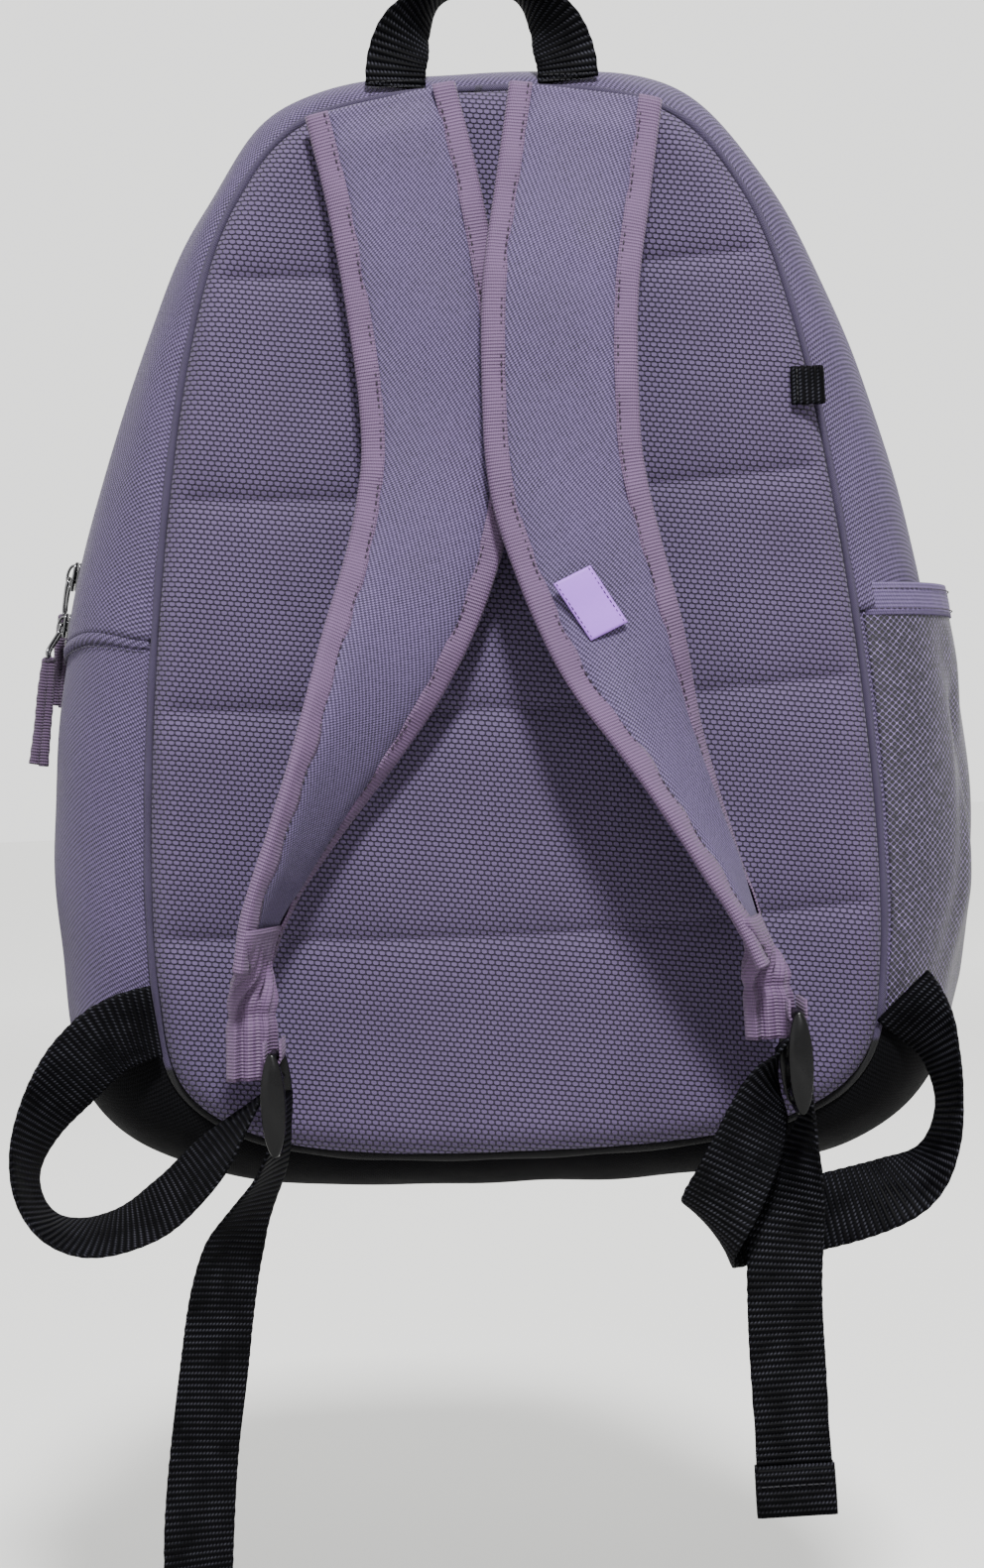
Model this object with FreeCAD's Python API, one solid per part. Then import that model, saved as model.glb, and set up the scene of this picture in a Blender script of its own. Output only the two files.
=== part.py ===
import FreeCAD, Part
import math
import os

# Hiking daypack hung from its haul loop. Millimetres.
# Origin: under the crown of the haul loop. X to the right seen from the wearer's
# side, Y from the rear seam into the bag, Z up. The wearer's side faces -Y.

os.makedirs("parts", exist_ok=True)

# ---- driving dimensions ----
SEAM_Z = -42.0            # top centre of the rear seam below the loop crown
DEPTH = 114.0             # rear seam plane to front seam plane
MID_Y = DEPTH / 2
PAD_T = 12.0              # back pad thickness
WALL = 2.0                # gusset cloth with its coating and seam tape
ZIP_HALF = 9.0            # half of the flat band that carries the main zip
WELT_D = 220.0            # end of the zip gusset below the seam top
BASE_D = 392.0            # top edge of the base panel below the seam top
BULGE_STEP = 0.68         # share of the bulge reached 15 mm in from a seam
BULGE_IN = 15.0
LOOP_W = 25.0
WEB_W = 30.0
WEB_T = 1.6
STRAP_W = 62.0
STRAP_END_W = 46.0
FOAM_T = 6.0
CLOTH_T = 1.2
BIND_W = 5.0
BIND_T = 6.0
PULL_W = 8.0
GAP = 0.4                 # running clearance between bodies

V = FreeCAD.Vector
X = V(1, 0, 0)
Y = V(0, 1, 0)
Z = V(0, 0, 1)

# Outlines of the bag seen from the wearer's side: x and depth below the seam top.
# Each runs clockwise from the left end of the top arc, two points to an arc.
SEAM_SIDE = [(75, 11), (105, 44), (125, 100), (147, 250), (150, 368), (141, 408), (108, 430)]
FULL_LEFT = [(84, -5), (122, 40), (153, 105), (188, 215), (197, 345), (186, 415), (140, 446)]
FULL_RIGHT = [(84, -5), (122, 40), (153, 105), (181, 215), (188, 345), (178, 414), (138, 446)]
SEAM_LINE = (0, SEAM_SIDE, SEAM_SIDE, 440)
FULL_LINE = (-15, FULL_LEFT, FULL_RIGHT, 457)


def loop_points(line):
    top, left, right, bottom = line
    points = [(0, top)] + list(right) + [(0, bottom)]
    points += [(-x, d) for x, d in reversed(left)]
    return points


def blend(line_a, line_b, share):
    pairs = zip(loop_points(line_a), loop_points(line_b))
    return [(a[0] + (b[0] - a[0]) * share, a[1] + (b[1] - a[1]) * share) for a, b in pairs]


def grow(points, amount):
    """Offset an outline outward about the middle of the bag."""
    moved = []
    for x, d in points:
        reach = math.hypot(x, d - 220)
        moved.append((x * (1 + amount / reach), 220 + (d - 220) * (1 + amount / reach)))
    return moved


def wire_at(points, y):
    """Closed wire of arcs: odd points are where the arcs join, even ones their crowns."""
    at = [V(x, y, SEAM_Z - d) for x, d in points]
    count = len(at)
    edges = []
    for i in range(1, count, 2):
        edges.append(Part.Arc(at[i], at[(i + 1) % count], at[(i + 2) % count]).toShape())
    return Part.Wire(edges)


def bag(amount, full=FULL_LINE, start=0.0, end=DEPTH):
    """Solid of the whole bag between two planes, its outline grown by amount."""
    stops = [(start, 0.0), (BULGE_IN, BULGE_STEP), (MID_Y - ZIP_HALF - 2, 1.0)]
    stops += [(MID_Y + ZIP_HALF + 2, 1.0), (DEPTH - BULGE_IN, BULGE_STEP), (end, 0.0)]
    wires = [wire_at(grow(blend(SEAM_LINE, full, s), amount), y) for y, s in stops]
    return Part.makeLoft(wires, True, True)


def block(x0, x1, y0, y1, d0, d1):
    """Box between two depths below the seam top."""
    return Part.makeBox(x1 - x0, y1 - y0, d1 - d0, V(x0, y0, SEAM_Z - d1))


def slab(points, y0, y1):
    return Part.Face(wire_at(points, y0)).extrude(V(0, y1 - y0, 0))


def facet_solid(rings):
    """Closed flat-faced solid through rings of corners, ended with caps."""
    faces = []

    def tri(a, b, c):
        if (b - a).cross(c - a).Length > 1e-6:
            faces.append(Part.Face(Part.makePolygon([a, b, c, a])))

    # Both broad faces are split along the same diagonal, so a twist never crosses the thickness
    for low, high in zip(rings, rings[1:]):
        for i in (0, 1):
            tri(low[i], low[i + 1], high[i + 1])
            tri(low[i], high[i + 1], high[i])
        for i, j in ((2, 3), (3, 0)):
            tri(low[i], low[j], high[i])
            tri(low[j], high[j], high[i])
    for ring in (rings[0], rings[-1]):
        tri(ring[0], ring[1], ring[2])
        tri(ring[0], ring[2], ring[3])
    solid = Part.makeSolid(Part.makeShell(faces))
    if solid.Volume < 0:
        solid.reverse()
    return solid


def rounded(route, label="", steps=4):
    """Straight runs joined by tangent arcs, with the side direction turned evenly.
    Each stop of the route is a point and the direction of the band's width."""
    path = [route[0]]
    radii = []
    for (a, _), (b, wide), (c, _) in zip(route, route[1:], route[2:]):
        run_in = b - a
        run_out = c - b
        half = run_in.getAngle(run_out) / 2
        cut = 0.45 * min(run_in.Length, run_out.Length)
        radius = cut / math.tan(half)
        radii.append(radius)
        run_in.normalize()
        run_out.normalize()
        inward = (run_out - run_in).normalize()
        hub = b + inward * (radius / math.cos(half))
        start = b - run_in * cut - hub
        side = run_in.cross(run_out).normalize()
        for k in range(steps + 1):
            turn = FreeCAD.Rotation(side, math.degrees(2 * half) * k / steps)
            path.append((hub + turn.multVec(start), wide))
    path.append(route[-1])
    if label:
        print(label, "smallest radius %.0f" % min(radii), "largest %.0f" % max(radii))
    return path


def eased(path, route):
    """Side directions along the path, eased from stop to stop of the route."""
    legs = [0.0]
    for (a, _), (b, _) in zip(route, route[1:]):
        legs.append(legs[-1] + (b - a).Length)
    total = [0.0]
    for (a, _), (b, _) in zip(path, path[1:]):
        total.append(total[-1] + (b - a).Length)
    scale = legs[-1] / total[-1]
    out = []
    for (p, _), s in zip(path, total):
        s = s * scale
        i = max(k for k in range(len(legs) - 1) if legs[k] <= s + 1e-9 or k == 0)
        share = min(1.0, (s - legs[i]) / (legs[i + 1] - legs[i]))
        wide = route[i][1] * (1 - share) + route[i + 1][1] * share
        out.append((p, wide, s / legs[-1]))
    return out


def band(stops, width, thick, across=0.0, lift=0.0):
    """Flat band along (point, side direction, share) stops. width may vary with share;
    across and lift shift the band sideways and along its outward face normal."""
    rings = []
    for i, (p, wide, share) in enumerate(stops):
        before = stops[max(i - 1, 0)][0]
        after = stops[min(i + 1, len(stops) - 1)][0]
        along = (after - before).normalize()
        side = (wide - along * wide.dot(along)).normalize()
        out = along.cross(side).normalize()
        w = width(share) if callable(width) else width
        shift = across(share) if callable(across) else across
        mid = p + side * shift + out * lift
        half = side * (w / 2)
        up = out * (thick / 2)
        ring = [mid - half - up, mid + half - up, mid + half + up, mid - half + up]
        if rings:
            assert all((b - a).dot(along) > 0 for a, b in zip(rings[-1], ring)), "band doubles back"
        rings.append(ring)
    return facet_solid(rings)


def webbing(name, route, width, thick):
    """A length of webbing, with its measured volume beside its section times length."""
    path = eased(rounded(route, name), route)
    solid = band(path, width, thick)
    length = sum((b[0] - a[0]).Length for a, b in zip(path, path[1:]))
    print(name, "length %.0f" % length, "volume %.0f" % solid.Volume,
          "section x length %.0f" % (width * thick * length))
    return solid


def save(name, shape):
    assert shape.isValid(), name
    shape.exportStep("parts/" + name + ".step")


# ---- bag shell ----
outer = bag(0)
inner = bag(-WALL, start=0.0, end=DEPTH)
ring = outer.cut(inner)

upper_rear = ring.common(block(-300, 300, -5, MID_Y - ZIP_HALF, -100, WELT_D))
upper_front = ring.common(block(-300, 300, MID_Y + ZIP_HALF, DEPTH + 5, -100, WELT_D))
save("zip_gusset_rear", upper_rear)
save("zip_gusset_front", upper_front)
save("side_panel_left", ring.common(block(-300, 0, -5, DEPTH + 5, WELT_D, BASE_D)))
save("side_panel_right", ring.common(block(0, 300, -5, DEPTH + 5, WELT_D, BASE_D)))
save("base_panel", ring.common(block(-300, 300, -5, DEPTH + 5, BASE_D, 500)))

# Folded seam where each side panel meets the zip gusset, standing on the outside
welt_ring = bag(1.4).cut(outer)
save("side_seam_left", welt_ring.common(block(-300, 0, 4, DEPTH - 4, WELT_D - 3, WELT_D + 3)))

# ---- main zip: two tapes and the coil between them, end stop at the left end ----
tape_ring = bag(-0.4).cut(bag(-1.6))
coil_half = 2.6
save("main_zip_tape_rear",
     tape_ring.common(block(-300, 300, MID_Y - ZIP_HALF, MID_Y - coil_half, -100, WELT_D)))
save("main_zip_tape_front",
     tape_ring.common(block(-300, 300, MID_Y + coil_half, MID_Y + ZIP_HALF, -100, WELT_D)))
coil_ring = bag(0.8).cut(bag(-1.4))
save("main_zip_coil",
     coil_ring.common(block(-300, 300, MID_Y - coil_half, MID_Y + coil_half, -100, WELT_D - 3.4)))

# ---- sliders, on the arc of the left side ----
side_arc = Part.Arc(*[V(-x, MID_Y, SEAM_Z - d) for x, d in FULL_LEFT[2:5]])
hub = side_arc.toShape().Curve.Center
arc_r = side_arc.toShape().Curve.Radius
print("slider arc centre", round(hub.x, 3), round(hub.y, 3), round(hub.z, 3), "radius", round(arc_r, 3))


def arc_angle(depth):
    """Angle below the horizontal of the side arc at a depth."""
    return math.degrees(math.asin((SEAM_Z - depth - hub.z) / arc_r))


def on_arc(depth, out):
    rise = math.radians(arc_angle(depth))
    return V(hub.x - (arc_r + out) * math.cos(rise), MID_Y, hub.z + (arc_r + out) * math.sin(rise))


def arc_block(d_top, d_low, in_r, out_r, y0, y1):
    """Block that follows the side arc between two depths."""
    pts = [on_arc(d, r) for d, r in ((d_top, in_r), (d_low, in_r), (d_low, out_r), (d_top, out_r))]
    mid_in = on_arc((d_top + d_low) / 2, in_r)
    mid_out = on_arc((d_top + d_low) / 2, out_r)
    wire = Part.Wire([Part.Arc(pts[0], mid_in, pts[1]).toShape(), Part.makeLine(pts[1], pts[2]),
                      Part.Arc(pts[2], mid_out, pts[3]).toShape(), Part.makeLine(pts[3], pts[0])])
    wire.translate(V(0, y0 - MID_Y, 0))
    return Part.Face(wire).extrude(V(0, y1 - y0, 0))


save("main_zip_end_stop", arc_block(WELT_D - 3.2, WELT_D - 0.2, 1.5, 2.6, MID_Y - 3.5, MID_Y + 3.5))
SLIDER_IN = 1.3
SLIDER_OUT = 4.3
BRIDGE_OUT = 7.3


def slider(d_top, d_low):
    """Slider body with its bridge; the pull's eye goes through under the bridge."""
    body = arc_block(d_top, d_low, SLIDER_IN, SLIDER_OUT, MID_Y - 4.8, MID_Y + 4.8)
    bridge = arc_block(d_top + 2, d_low - 2, SLIDER_OUT - 0.1, BRIDGE_OUT, MID_Y - 1.6, MID_Y + 1.6)
    hole = arc_block(d_top + 3.6, d_low - 3.2, SLIDER_OUT, BRIDGE_OUT - 1.0, MID_Y - 3, MID_Y + 3)
    return body.fuse(bridge).cut(hole).removeSplitter()


UPPER_D = (183.5, 196.5)
LOWER_D = (205.5, 216.5)
UPPER_EYE = 191.5
LOWER_EYE = 211.2
save("main_slider_upper", slider(*UPPER_D))
save("main_slider_lower", slider(*LOWER_D))


def pull(depth, lean, drop, foot_out):
    """Wire eye through the bridge, metal link and doubled tape below it."""
    eye = on_arc(depth, 5.4)
    pin = Part.makeBox(1.2, 9.0, 1.2, eye + V(-0.6, -4.5, -0.6))
    knot = eye + V(-5.0, lean, -14)
    arms = []
    for dy in (-4.0, 4.0):
        top = eye + V(-0.2, dy, 0)
        past_bridge = eye + V(-2.0, dy, -5.0)
        low = knot + V(0, dy * 0.7, 0)
        arms.append(band([(top, X, 0), (past_bridge, X, 0.5), (low, X, 1)], 1.2, 1.2))
    cross = Part.makeBox(2.0, 8.0, 2.0, knot + V(-1.0, -4.0, -2.0))
    link = pin.fuse(arms + [cross]).removeSplitter()
    foot = knot + V(-foot_out, lean * 0.25, -drop)
    top = knot + V(0, 0, -2.1)
    legs = band([(top, X, 0), (foot, X, 1)], PULL_W, 3.0)
    return link, legs


link, legs = pull(UPPER_EYE, 12.5, 40, 5.0)
save("main_pull_link_upper", link)
save("main_pull_tape_upper", legs)
link, legs = pull(LOWER_EYE, -8.0, 46, 6.0)
save("main_pull_link_lower", link)
save("main_pull_tape_lower", legs)
print("upper pull eye", on_arc(UPPER_EYE, 5.4), "lower pull eye", on_arc(LOWER_EYE, 5.4))

# ---- back pad ----
seam_pts = loop_points(SEAM_LINE)
face_out = slab(grow(seam_pts, -1.0), -PAD_T, 0)
core = slab(grow(seam_pts, -3.2), -PAD_T + 1.5, -1.0)
save("back_panel_face", face_out.cut(slab(grow(seam_pts, -3.2), -PAD_T + 1.5, 0)))
save("back_panel_foam", core)
save("back_panel_lining", slab(grow(seam_pts, -3.2), -1.0, 0))
piping_rear = slab(grow(seam_pts, 2.0), -3.0, 0).cut(slab(grow(seam_pts, -1.0), -3.0, 0))
save("rear_seam_piping", piping_rear)

# ---- front panel ----
save("front_panel", slab(grow(seam_pts, -1.0), DEPTH, DEPTH + 2))
piping_front = slab(grow(seam_pts, 2.0), DEPTH, DEPTH + 3).cut(slab(grow(seam_pts, -1.0), DEPTH, DEPTH + 3))
save("front_seam_piping", piping_front)

# Bound seam allowances inside the bag
bind_in = slab(grow(seam_pts, -4.5), 2, 10).cut(slab(grow(seam_pts, -6.0), 2, 10))
save("rear_seam_binding", bind_in)
bind_in = slab(grow(seam_pts, -4.5), DEPTH - 10, DEPTH - 2)
save("front_seam_binding", bind_in.cut(slab(grow(seam_pts, -6.0), DEPTH - 10, DEPTH - 2)))

# ---- front pocket ----
POCKET_TOP = 205.0
POCKET_LOW = 415.0
POCKET_HALF = 112.0
POCKET_Y0 = DEPTH + 2
POCKET_Y1 = DEPTH + 26
ZIP_D = 232.0
ZIP_X = 98.0


def pocket_line(inset):
    half = POCKET_HALF - inset
    top = POCKET_TOP + inset
    low = POCKET_LOW - inset
    r = 28.0 - inset * 0.6
    k = r * (1 - math.sqrt(0.5))
    corners = [V(-half + r, 0, -top), V(half - r, 0, -top), V(half - k, 0, -top - k), V(half, 0, -top - r)]
    corners += [V(half, 0, -low + r), V(half - k, 0, -low + k), V(half - r, 0, -low), V(-half + r, 0, -low)]
    corners += [V(-half + k, 0, -low + k), V(-half, 0, -low + r), V(-half, 0, -top - r), V(-half + k, 0, -top - k)]
    c = [p + V(0, 0, SEAM_Z) for p in corners]
    return Part.Wire([Part.makeLine(c[0], c[1]), Part.Arc(c[1], c[2], c[3]).toShape(),
                      Part.makeLine(c[3], c[4]), Part.Arc(c[4], c[5], c[6]).toShape(),
                      Part.makeLine(c[6], c[7]), Part.Arc(c[7], c[8], c[9]).toShape(),
                      Part.makeLine(c[9], c[10]), Part.Arc(c[10], c[11], c[0]).toShape()])


def pocket_slab(inset, y0, y1):
    wire = pocket_line(inset)
    wire.translate(V(0, y0, 0))
    return Part.Face(wire).extrude(V(0, y1 - y0, 0))


save("front_pocket_gusset", pocket_slab(0, POCKET_Y0, POCKET_Y1 - 1.5).cut(
    pocket_slab(2, POCKET_Y0, POCKET_Y1 - 1.5)))
slot = block(-ZIP_X - 6, ZIP_X + 6, POCKET_Y1 - 3, POCKET_Y1 + 1, ZIP_D - 4.5, ZIP_D + 4.5)
save("front_pocket_face", pocket_slab(0, POCKET_Y1 - 1.5, POCKET_Y1).cut(slot))
tape = block(-ZIP_X - 8, ZIP_X + 8, POCKET_Y1 - 2.7, POCKET_Y1 - 1.5, ZIP_D - 12, ZIP_D + 12)
save("front_pocket_zip_tape", tape)
save("front_pocket_zip_coil",
     block(-ZIP_X - 6, ZIP_X + 6, POCKET_Y1 - 1.5, POCKET_Y1 + 0.2, ZIP_D - 2.6, ZIP_D + 2.6))
PX = -ZIP_X + 6
PY = POCKET_Y1 + 0.2 + GAP
body = block(PX - 6, PX + 6, PY, PY + 3, ZIP_D - 4.6, ZIP_D + 4.6)
bridge = block(PX - 4, PX + 4, PY + 2.9, PY + 6, ZIP_D - 1.6, ZIP_D + 1.6)
hole = block(PX - 3, PX + 3, PY + 3, PY + 5, ZIP_D - 3, ZIP_D + 3)
save("front_pocket_slider", body.fuse(bridge).cut(hole).removeSplitter())
eye = V(PX, PY + 4.0, SEAM_Z - ZIP_D)
pin = Part.makeBox(1.2, 1.2, 7.0, eye + V(-0.6, -0.6, -3.5))
arms = [Part.makeBox(8.0, 1.2, 1.3, eye + V(-0.6, -0.6, z)) for z in (-3.5, 2.2)]
plate = Part.makeBox(20.0, 1.2, 7.0, eye + V(6.6, -0.6, -3.5))
save("front_pocket_pull", pin.fuse(arms + [plate]).removeSplitter())
print("pocket pull eye", eye)

# ---- mesh bottle pocket on the right ----
POCKET_FULL = (-15, FULL_LEFT, [(x + 9.5, d) for x, d in FULL_RIGHT], 457)
MESH_D = 216.0
BAND_D = 204.0
zone = block(0, 300, 0.6, DEPTH - 0.6, MESH_D, BASE_D + 5)
mesh = bag(1.2, full=POCKET_FULL).cut(bag(0.2, full=POCKET_FULL)).common(zone)
foot = bag(1.2, full=POCKET_FULL).cut(bag(0.0)).common(
    block(0, 300, 0.6, DEPTH - 0.6, BASE_D + 4, BASE_D + 5))
save("mesh_pocket", mesh.fuse(foot).removeSplitter())
zone = block(0, 300, 0.6, DEPTH - 0.6, BAND_D, MESH_D)
save("pocket_elastic", bag(1.8, full=POCKET_FULL).cut(bag(0.2, full=POCKET_FULL)).common(zone))

# Folded tab sewn into the right seam
save("side_tab", block(121, 134, -PAD_T - 4.0, -PAD_T - GAP, 121, 137))

# ---- haul loop: webbing sewn into the top seam, turned a quarter to its crown ----
half_loop = [(V(-36, -1.5, SEAM_Z + 3.2), X), (V(-34, -2, SEAM_Z + 15), X),
             (V(-27, -1, SEAM_Z + 29), V(0.7, 0.7, 0)), (V(-13, 0, 0.8), Y)]
route = half_loop + [(V(-p.x, p.y, p.z), V(w.x, -w.y, 0) if w.x else -w)
                     for p, w in reversed(half_loop)]
save("haul_loop", webbing("haul_loop", route, LOOP_W, WEB_T))


# ---- shoulder straps ----
def tilted(x, y, depth, degrees):
    """A strap stop: its centre, and its width direction turned inward about the vertical."""
    turn = math.radians(degrees)
    return V(x, y, SEAM_Z - depth), V(math.cos(turn), math.sin(turn), 0)


def strap_width(share):
    return STRAP_W - (STRAP_W - STRAP_END_W) * min(1.0, max(0.0, (share - 0.45) / 0.5))


def make_strap(side, route):
    path = eased(rounded(route, "strap_" + side), route)

    def core_width(share):
        return strap_width(share) - 2 * BIND_W

    lift = (FOAM_T + CLOTH_T) / 2
    save("strap_%s_foam" % side, band(path, core_width, FOAM_T))
    save("strap_%s_face" % side, band(path, core_width, CLOTH_T, lift=lift))
    save("strap_%s_lining" % side, band(path, core_width, CLOTH_T, lift=-lift))
    edges = []
    for sign in (-1, 1):
        edges.append(band(path, BIND_W, BIND_T,
                          across=lambda share, sign=sign: sign * (strap_width(share) - BIND_W) / 2))
    save("strap_%s_binding" % side, Part.makeCompound(edges))


left_route = [tilted(-42, -18.5, 6, 0), tilted(-34, -21, 46, 0), tilted(-28, -23, 88, 0),
              tilted(-24, -25, 130, 0), tilted(-25, -27.5, 164, 0), tilted(-34, -32, 200, 6),
              tilted(-48, -37, 234, 20), tilted(-66, -41, 270, 42), tilted(-84, -43, 303, 60),
              tilted(-99, -44, 332, 72), tilted(-107, -44, 358, 80)]
right_route = [tilted(42, -18.5, 6, 0), tilted(35, -26, 46, 0), tilted(28, -34.5, 88, 0),
               tilted(26, -37, 130, 0), tilted(27, -38.5, 164, 0), tilted(34, -40.5, 196, 4),
               tilted(45, -43, 232, 16), tilted(58, -44, 266, 42), tilted(69, -45, 292, 56),
               tilted(81, -45, 320, 67), tilted(92, -44, 345, 76), tilted(98, -44, 362, 80)]
make_strap("left", left_route)
make_strap("right", right_route)

# Blank woven label sewn along the right strap's inner binding
label_at = [(V(27, -50.2, SEAM_Z - 205.5), V(0.9, 0.16, 0.42)),
            (V(41, -49.4, SEAM_Z - 228.5), V(0.9, 0.16, 0.42))]
save("strap_label", band([(p, w, 0) for p, w in label_at], 17, 0.8))


# ---- ladder-locks and the tape loops that hold them ----
LOCK_W = 38.0
LOCK_H = 41.0
LOCK_T = 6.4


def ladder_lock(x, y, top):
    """Buckle lying in a plane across X: three slots between four bars."""
    frame = block(x - LOCK_T / 2, x + LOCK_T / 2, y - LOCK_W / 2, y + LOCK_W / 2, top, top + LOCK_H)
    frame = frame.makeFillet(1.4, [e for e in frame.Edges if abs(e.Vertexes[0].Y - e.Vertexes[1].Y) < 1e-6
                                   and abs(e.Vertexes[0].Z - e.Vertexes[1].Z) < 1e-6])
    cuts = []
    for d0, d1 in ((3.6, 10.6), (14.2, 21.0), (25.4, 32.4)):
        cuts.append(block(x - 9, x + 9, y - 15.9, y + 15.9, top + d0, top + d1))
    for sign in (-1, 1):
        cuts.append(block(x + sign * 4.0 - 2.3, x + sign * 4.0 + 2.3, y - 15.9, y + 15.9, top - 1, top + 4))
    return frame.cut(Part.makeCompound(cuts)).removeSplitter()


def tape_loop(x, y, top, strap_end):
    """Sewn tape from the strap end, round the buckle's top bar and back."""
    reach = 3.1
    bend = top + 5.2
    stops = [(strap_end + V(-1.1, 0, -0.5), Y), (V(x - reach, y, SEAM_Z - top + 6), Y),
             (V(x - reach, y, SEAM_Z - bend), Y), (V(x + reach, y, SEAM_Z - bend), Y),
             (V(x + reach, y, SEAM_Z - top + 6), Y), (strap_end + V(1.1, 0, -0.5), Y)]
    return band(eased(rounded(stops), stops), 29, 1.5)


LEFT_LOCK = (-99.0, -44.0, 389.0)
RIGHT_LOCK = (108.5, -44.0, 381.0)
for side, lock, end in (("left", LEFT_LOCK, left_route[-1][0]), ("right", RIGHT_LOCK, right_route[-1][0])):
    save("ladder_lock_" + side, ladder_lock(*lock))
    save("strap_%s_tape_loop" % side, tape_loop(*lock, end))
    print(side, "lock pivot", lock[0], lock[1], SEAM_Z - lock[2] - 1.8)


# ---- adjustment webbing: from the base seam to each buckle, and the free tail below it ----
def at(x, y, depth, wx, wy, wz):
    return V(x, y, SEAM_Z - depth), V(wx, wy, wz).normalize()


left_loop = [at(-150.4, -7.5, 379, 0.1, 0, -1), at(-166, -12, 381, 0.3, 0.1, -0.95),
             at(-182, -20, 395, 0.65, 0.3, -0.7), at(-197, -28, 414, 0.5, 0.8, -0.35),
             at(-205, -33, 436, 0.2, 0.97, -0.1), at(-197, -38, 456, 0.05, 0.99, 0.1),
             at(-174, -43, 463, 0, 0.9, 0.43), at(-148, -46, 453, -0.3, 0.75, 0.55),
             at(-126, -47, 432, -0.35, 0.8, 0.42), at(-103.4, -44, 406.5, 0, 1, 0)]
left_tail = [at(-94.4, -44, 410, 0, 1, 0), at(-93.4, -44, 430, 0, 1, 0), at(-101, -41, 443, 0.2, 0.97, 0),
             at(-113, -35, 453, 0.5, 0.86, 0), at(-123, -30, 468, 0.8, 0.6, 0),
             at(-129, -28, 490, 0.9, 0.4, 0), at(-133, -28, 520, 0.97, 0.2, 0),
             at(-137, -29, 560, 0.97, 0.2, 0), at(-139, -31, 605, 0.97, 0.2, 0),
             at(-141, -31, 645, 0.97, 0.2, 0), at(-141, -32, 684, 0.97, 0.2, 0)]
right_loop = [at(103.2, -44, 395, 0, 1, 0), at(100, -46.5, 404, 0.2, 0.97, 0),
              at(94, -54, 417, 0.7, 0.65, -0.1), at(86, -60, 435, 0.9, 0.25, -0.3), at(77, -60.5, 452, 0.9, 0, -0.42),
              at(71.5, -58, 462, 0.79, -0.34, -0.5), at(71.5, -49, 468, 0.53, -0.48, -0.7),
              at(77, -40, 470.5, 0.26, -0.34, -0.9), at(88.3, -37, 468, 0.15, 0, -0.98),
              at(108, -35, 466, 0, -0.1, -1), at(132, -32, 462, 0, -0.3, -0.95),
              at(153, -28, 456, 0.1, -0.65, -0.75), at(168, -24, 443, 0.2, -0.95, -0.2),
              at(173, -21, 424, 0.2, -0.97, 0), at(171, -17, 405, 0.35, -0.9, 0.2),
              at(166, -12, 391, 0.5, -0.6, 0.6), at(157.2, -7.5, 381, 0.5, -0.05, 0.85)]
right_tail = [at(113, -44, 397.5, 0, -1, 0), at(114, -44, 420, 0, -1, 0), at(110, -45, 435, 0.3, -0.95, 0),
              at(105, -47, 450, 0.75, -0.65, 0), at(101, -49, 468, 1, -0.15, 0), at(99, -50, 496, 1, 0, 0),
              at(100, -49, 538, 1, 0, 0), at(101, -48, 582, 1, 0, 0)]
save("webbing_loop_left", webbing("webbing_loop_left", left_loop, WEB_W, WEB_T))
save("webbing_tail_left", webbing("webbing_tail_left", left_tail, WEB_W, WEB_T))
save("webbing_loop_right", webbing("webbing_loop_right", right_loop, WEB_W, WEB_T))
save("webbing_tail_right", webbing("webbing_tail_right", right_tail, WEB_W, WEB_T))
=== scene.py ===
import math
import bpy
import numpy as np
from mathutils import Matrix, Vector


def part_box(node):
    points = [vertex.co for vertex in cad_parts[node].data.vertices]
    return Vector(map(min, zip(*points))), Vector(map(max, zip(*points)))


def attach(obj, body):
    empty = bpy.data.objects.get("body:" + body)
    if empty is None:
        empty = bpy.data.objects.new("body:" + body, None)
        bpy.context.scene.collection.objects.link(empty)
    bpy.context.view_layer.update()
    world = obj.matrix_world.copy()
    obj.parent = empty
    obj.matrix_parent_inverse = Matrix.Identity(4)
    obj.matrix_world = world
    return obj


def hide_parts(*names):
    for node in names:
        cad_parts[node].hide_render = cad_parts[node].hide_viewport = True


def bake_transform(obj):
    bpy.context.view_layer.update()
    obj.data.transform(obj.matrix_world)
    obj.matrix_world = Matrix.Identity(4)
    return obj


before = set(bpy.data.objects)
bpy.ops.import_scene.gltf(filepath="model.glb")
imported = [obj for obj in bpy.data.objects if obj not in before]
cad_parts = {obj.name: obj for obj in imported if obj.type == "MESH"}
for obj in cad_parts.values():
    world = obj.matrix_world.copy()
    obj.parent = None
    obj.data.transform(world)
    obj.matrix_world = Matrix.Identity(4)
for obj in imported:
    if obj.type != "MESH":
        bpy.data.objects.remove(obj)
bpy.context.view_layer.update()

MM = 0.001
SEAM_Z = -42.0       # height of the seam's top: a depth d lies at SEAM_Z - d
DEPTH = 114.0        # from the back seam to the front seam
MID_Y = DEPTH / 2
AXIS_D = 220.0       # depth of the bag's middle, from which its outlines grow
TOP_D = 220.0        # depth where the zip gusset meets the side panels
SEAM_LOW = 440.0     # depth of the seam's lowest point
BASE_D = 392.0       # depth where the side panels meet the base
LET_IN = -0.441      # height in metres below which the piping is black
OUTWARD = -1         # normals() of surface() rows face into the bag
WEB_WIDTH = 30.0


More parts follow.
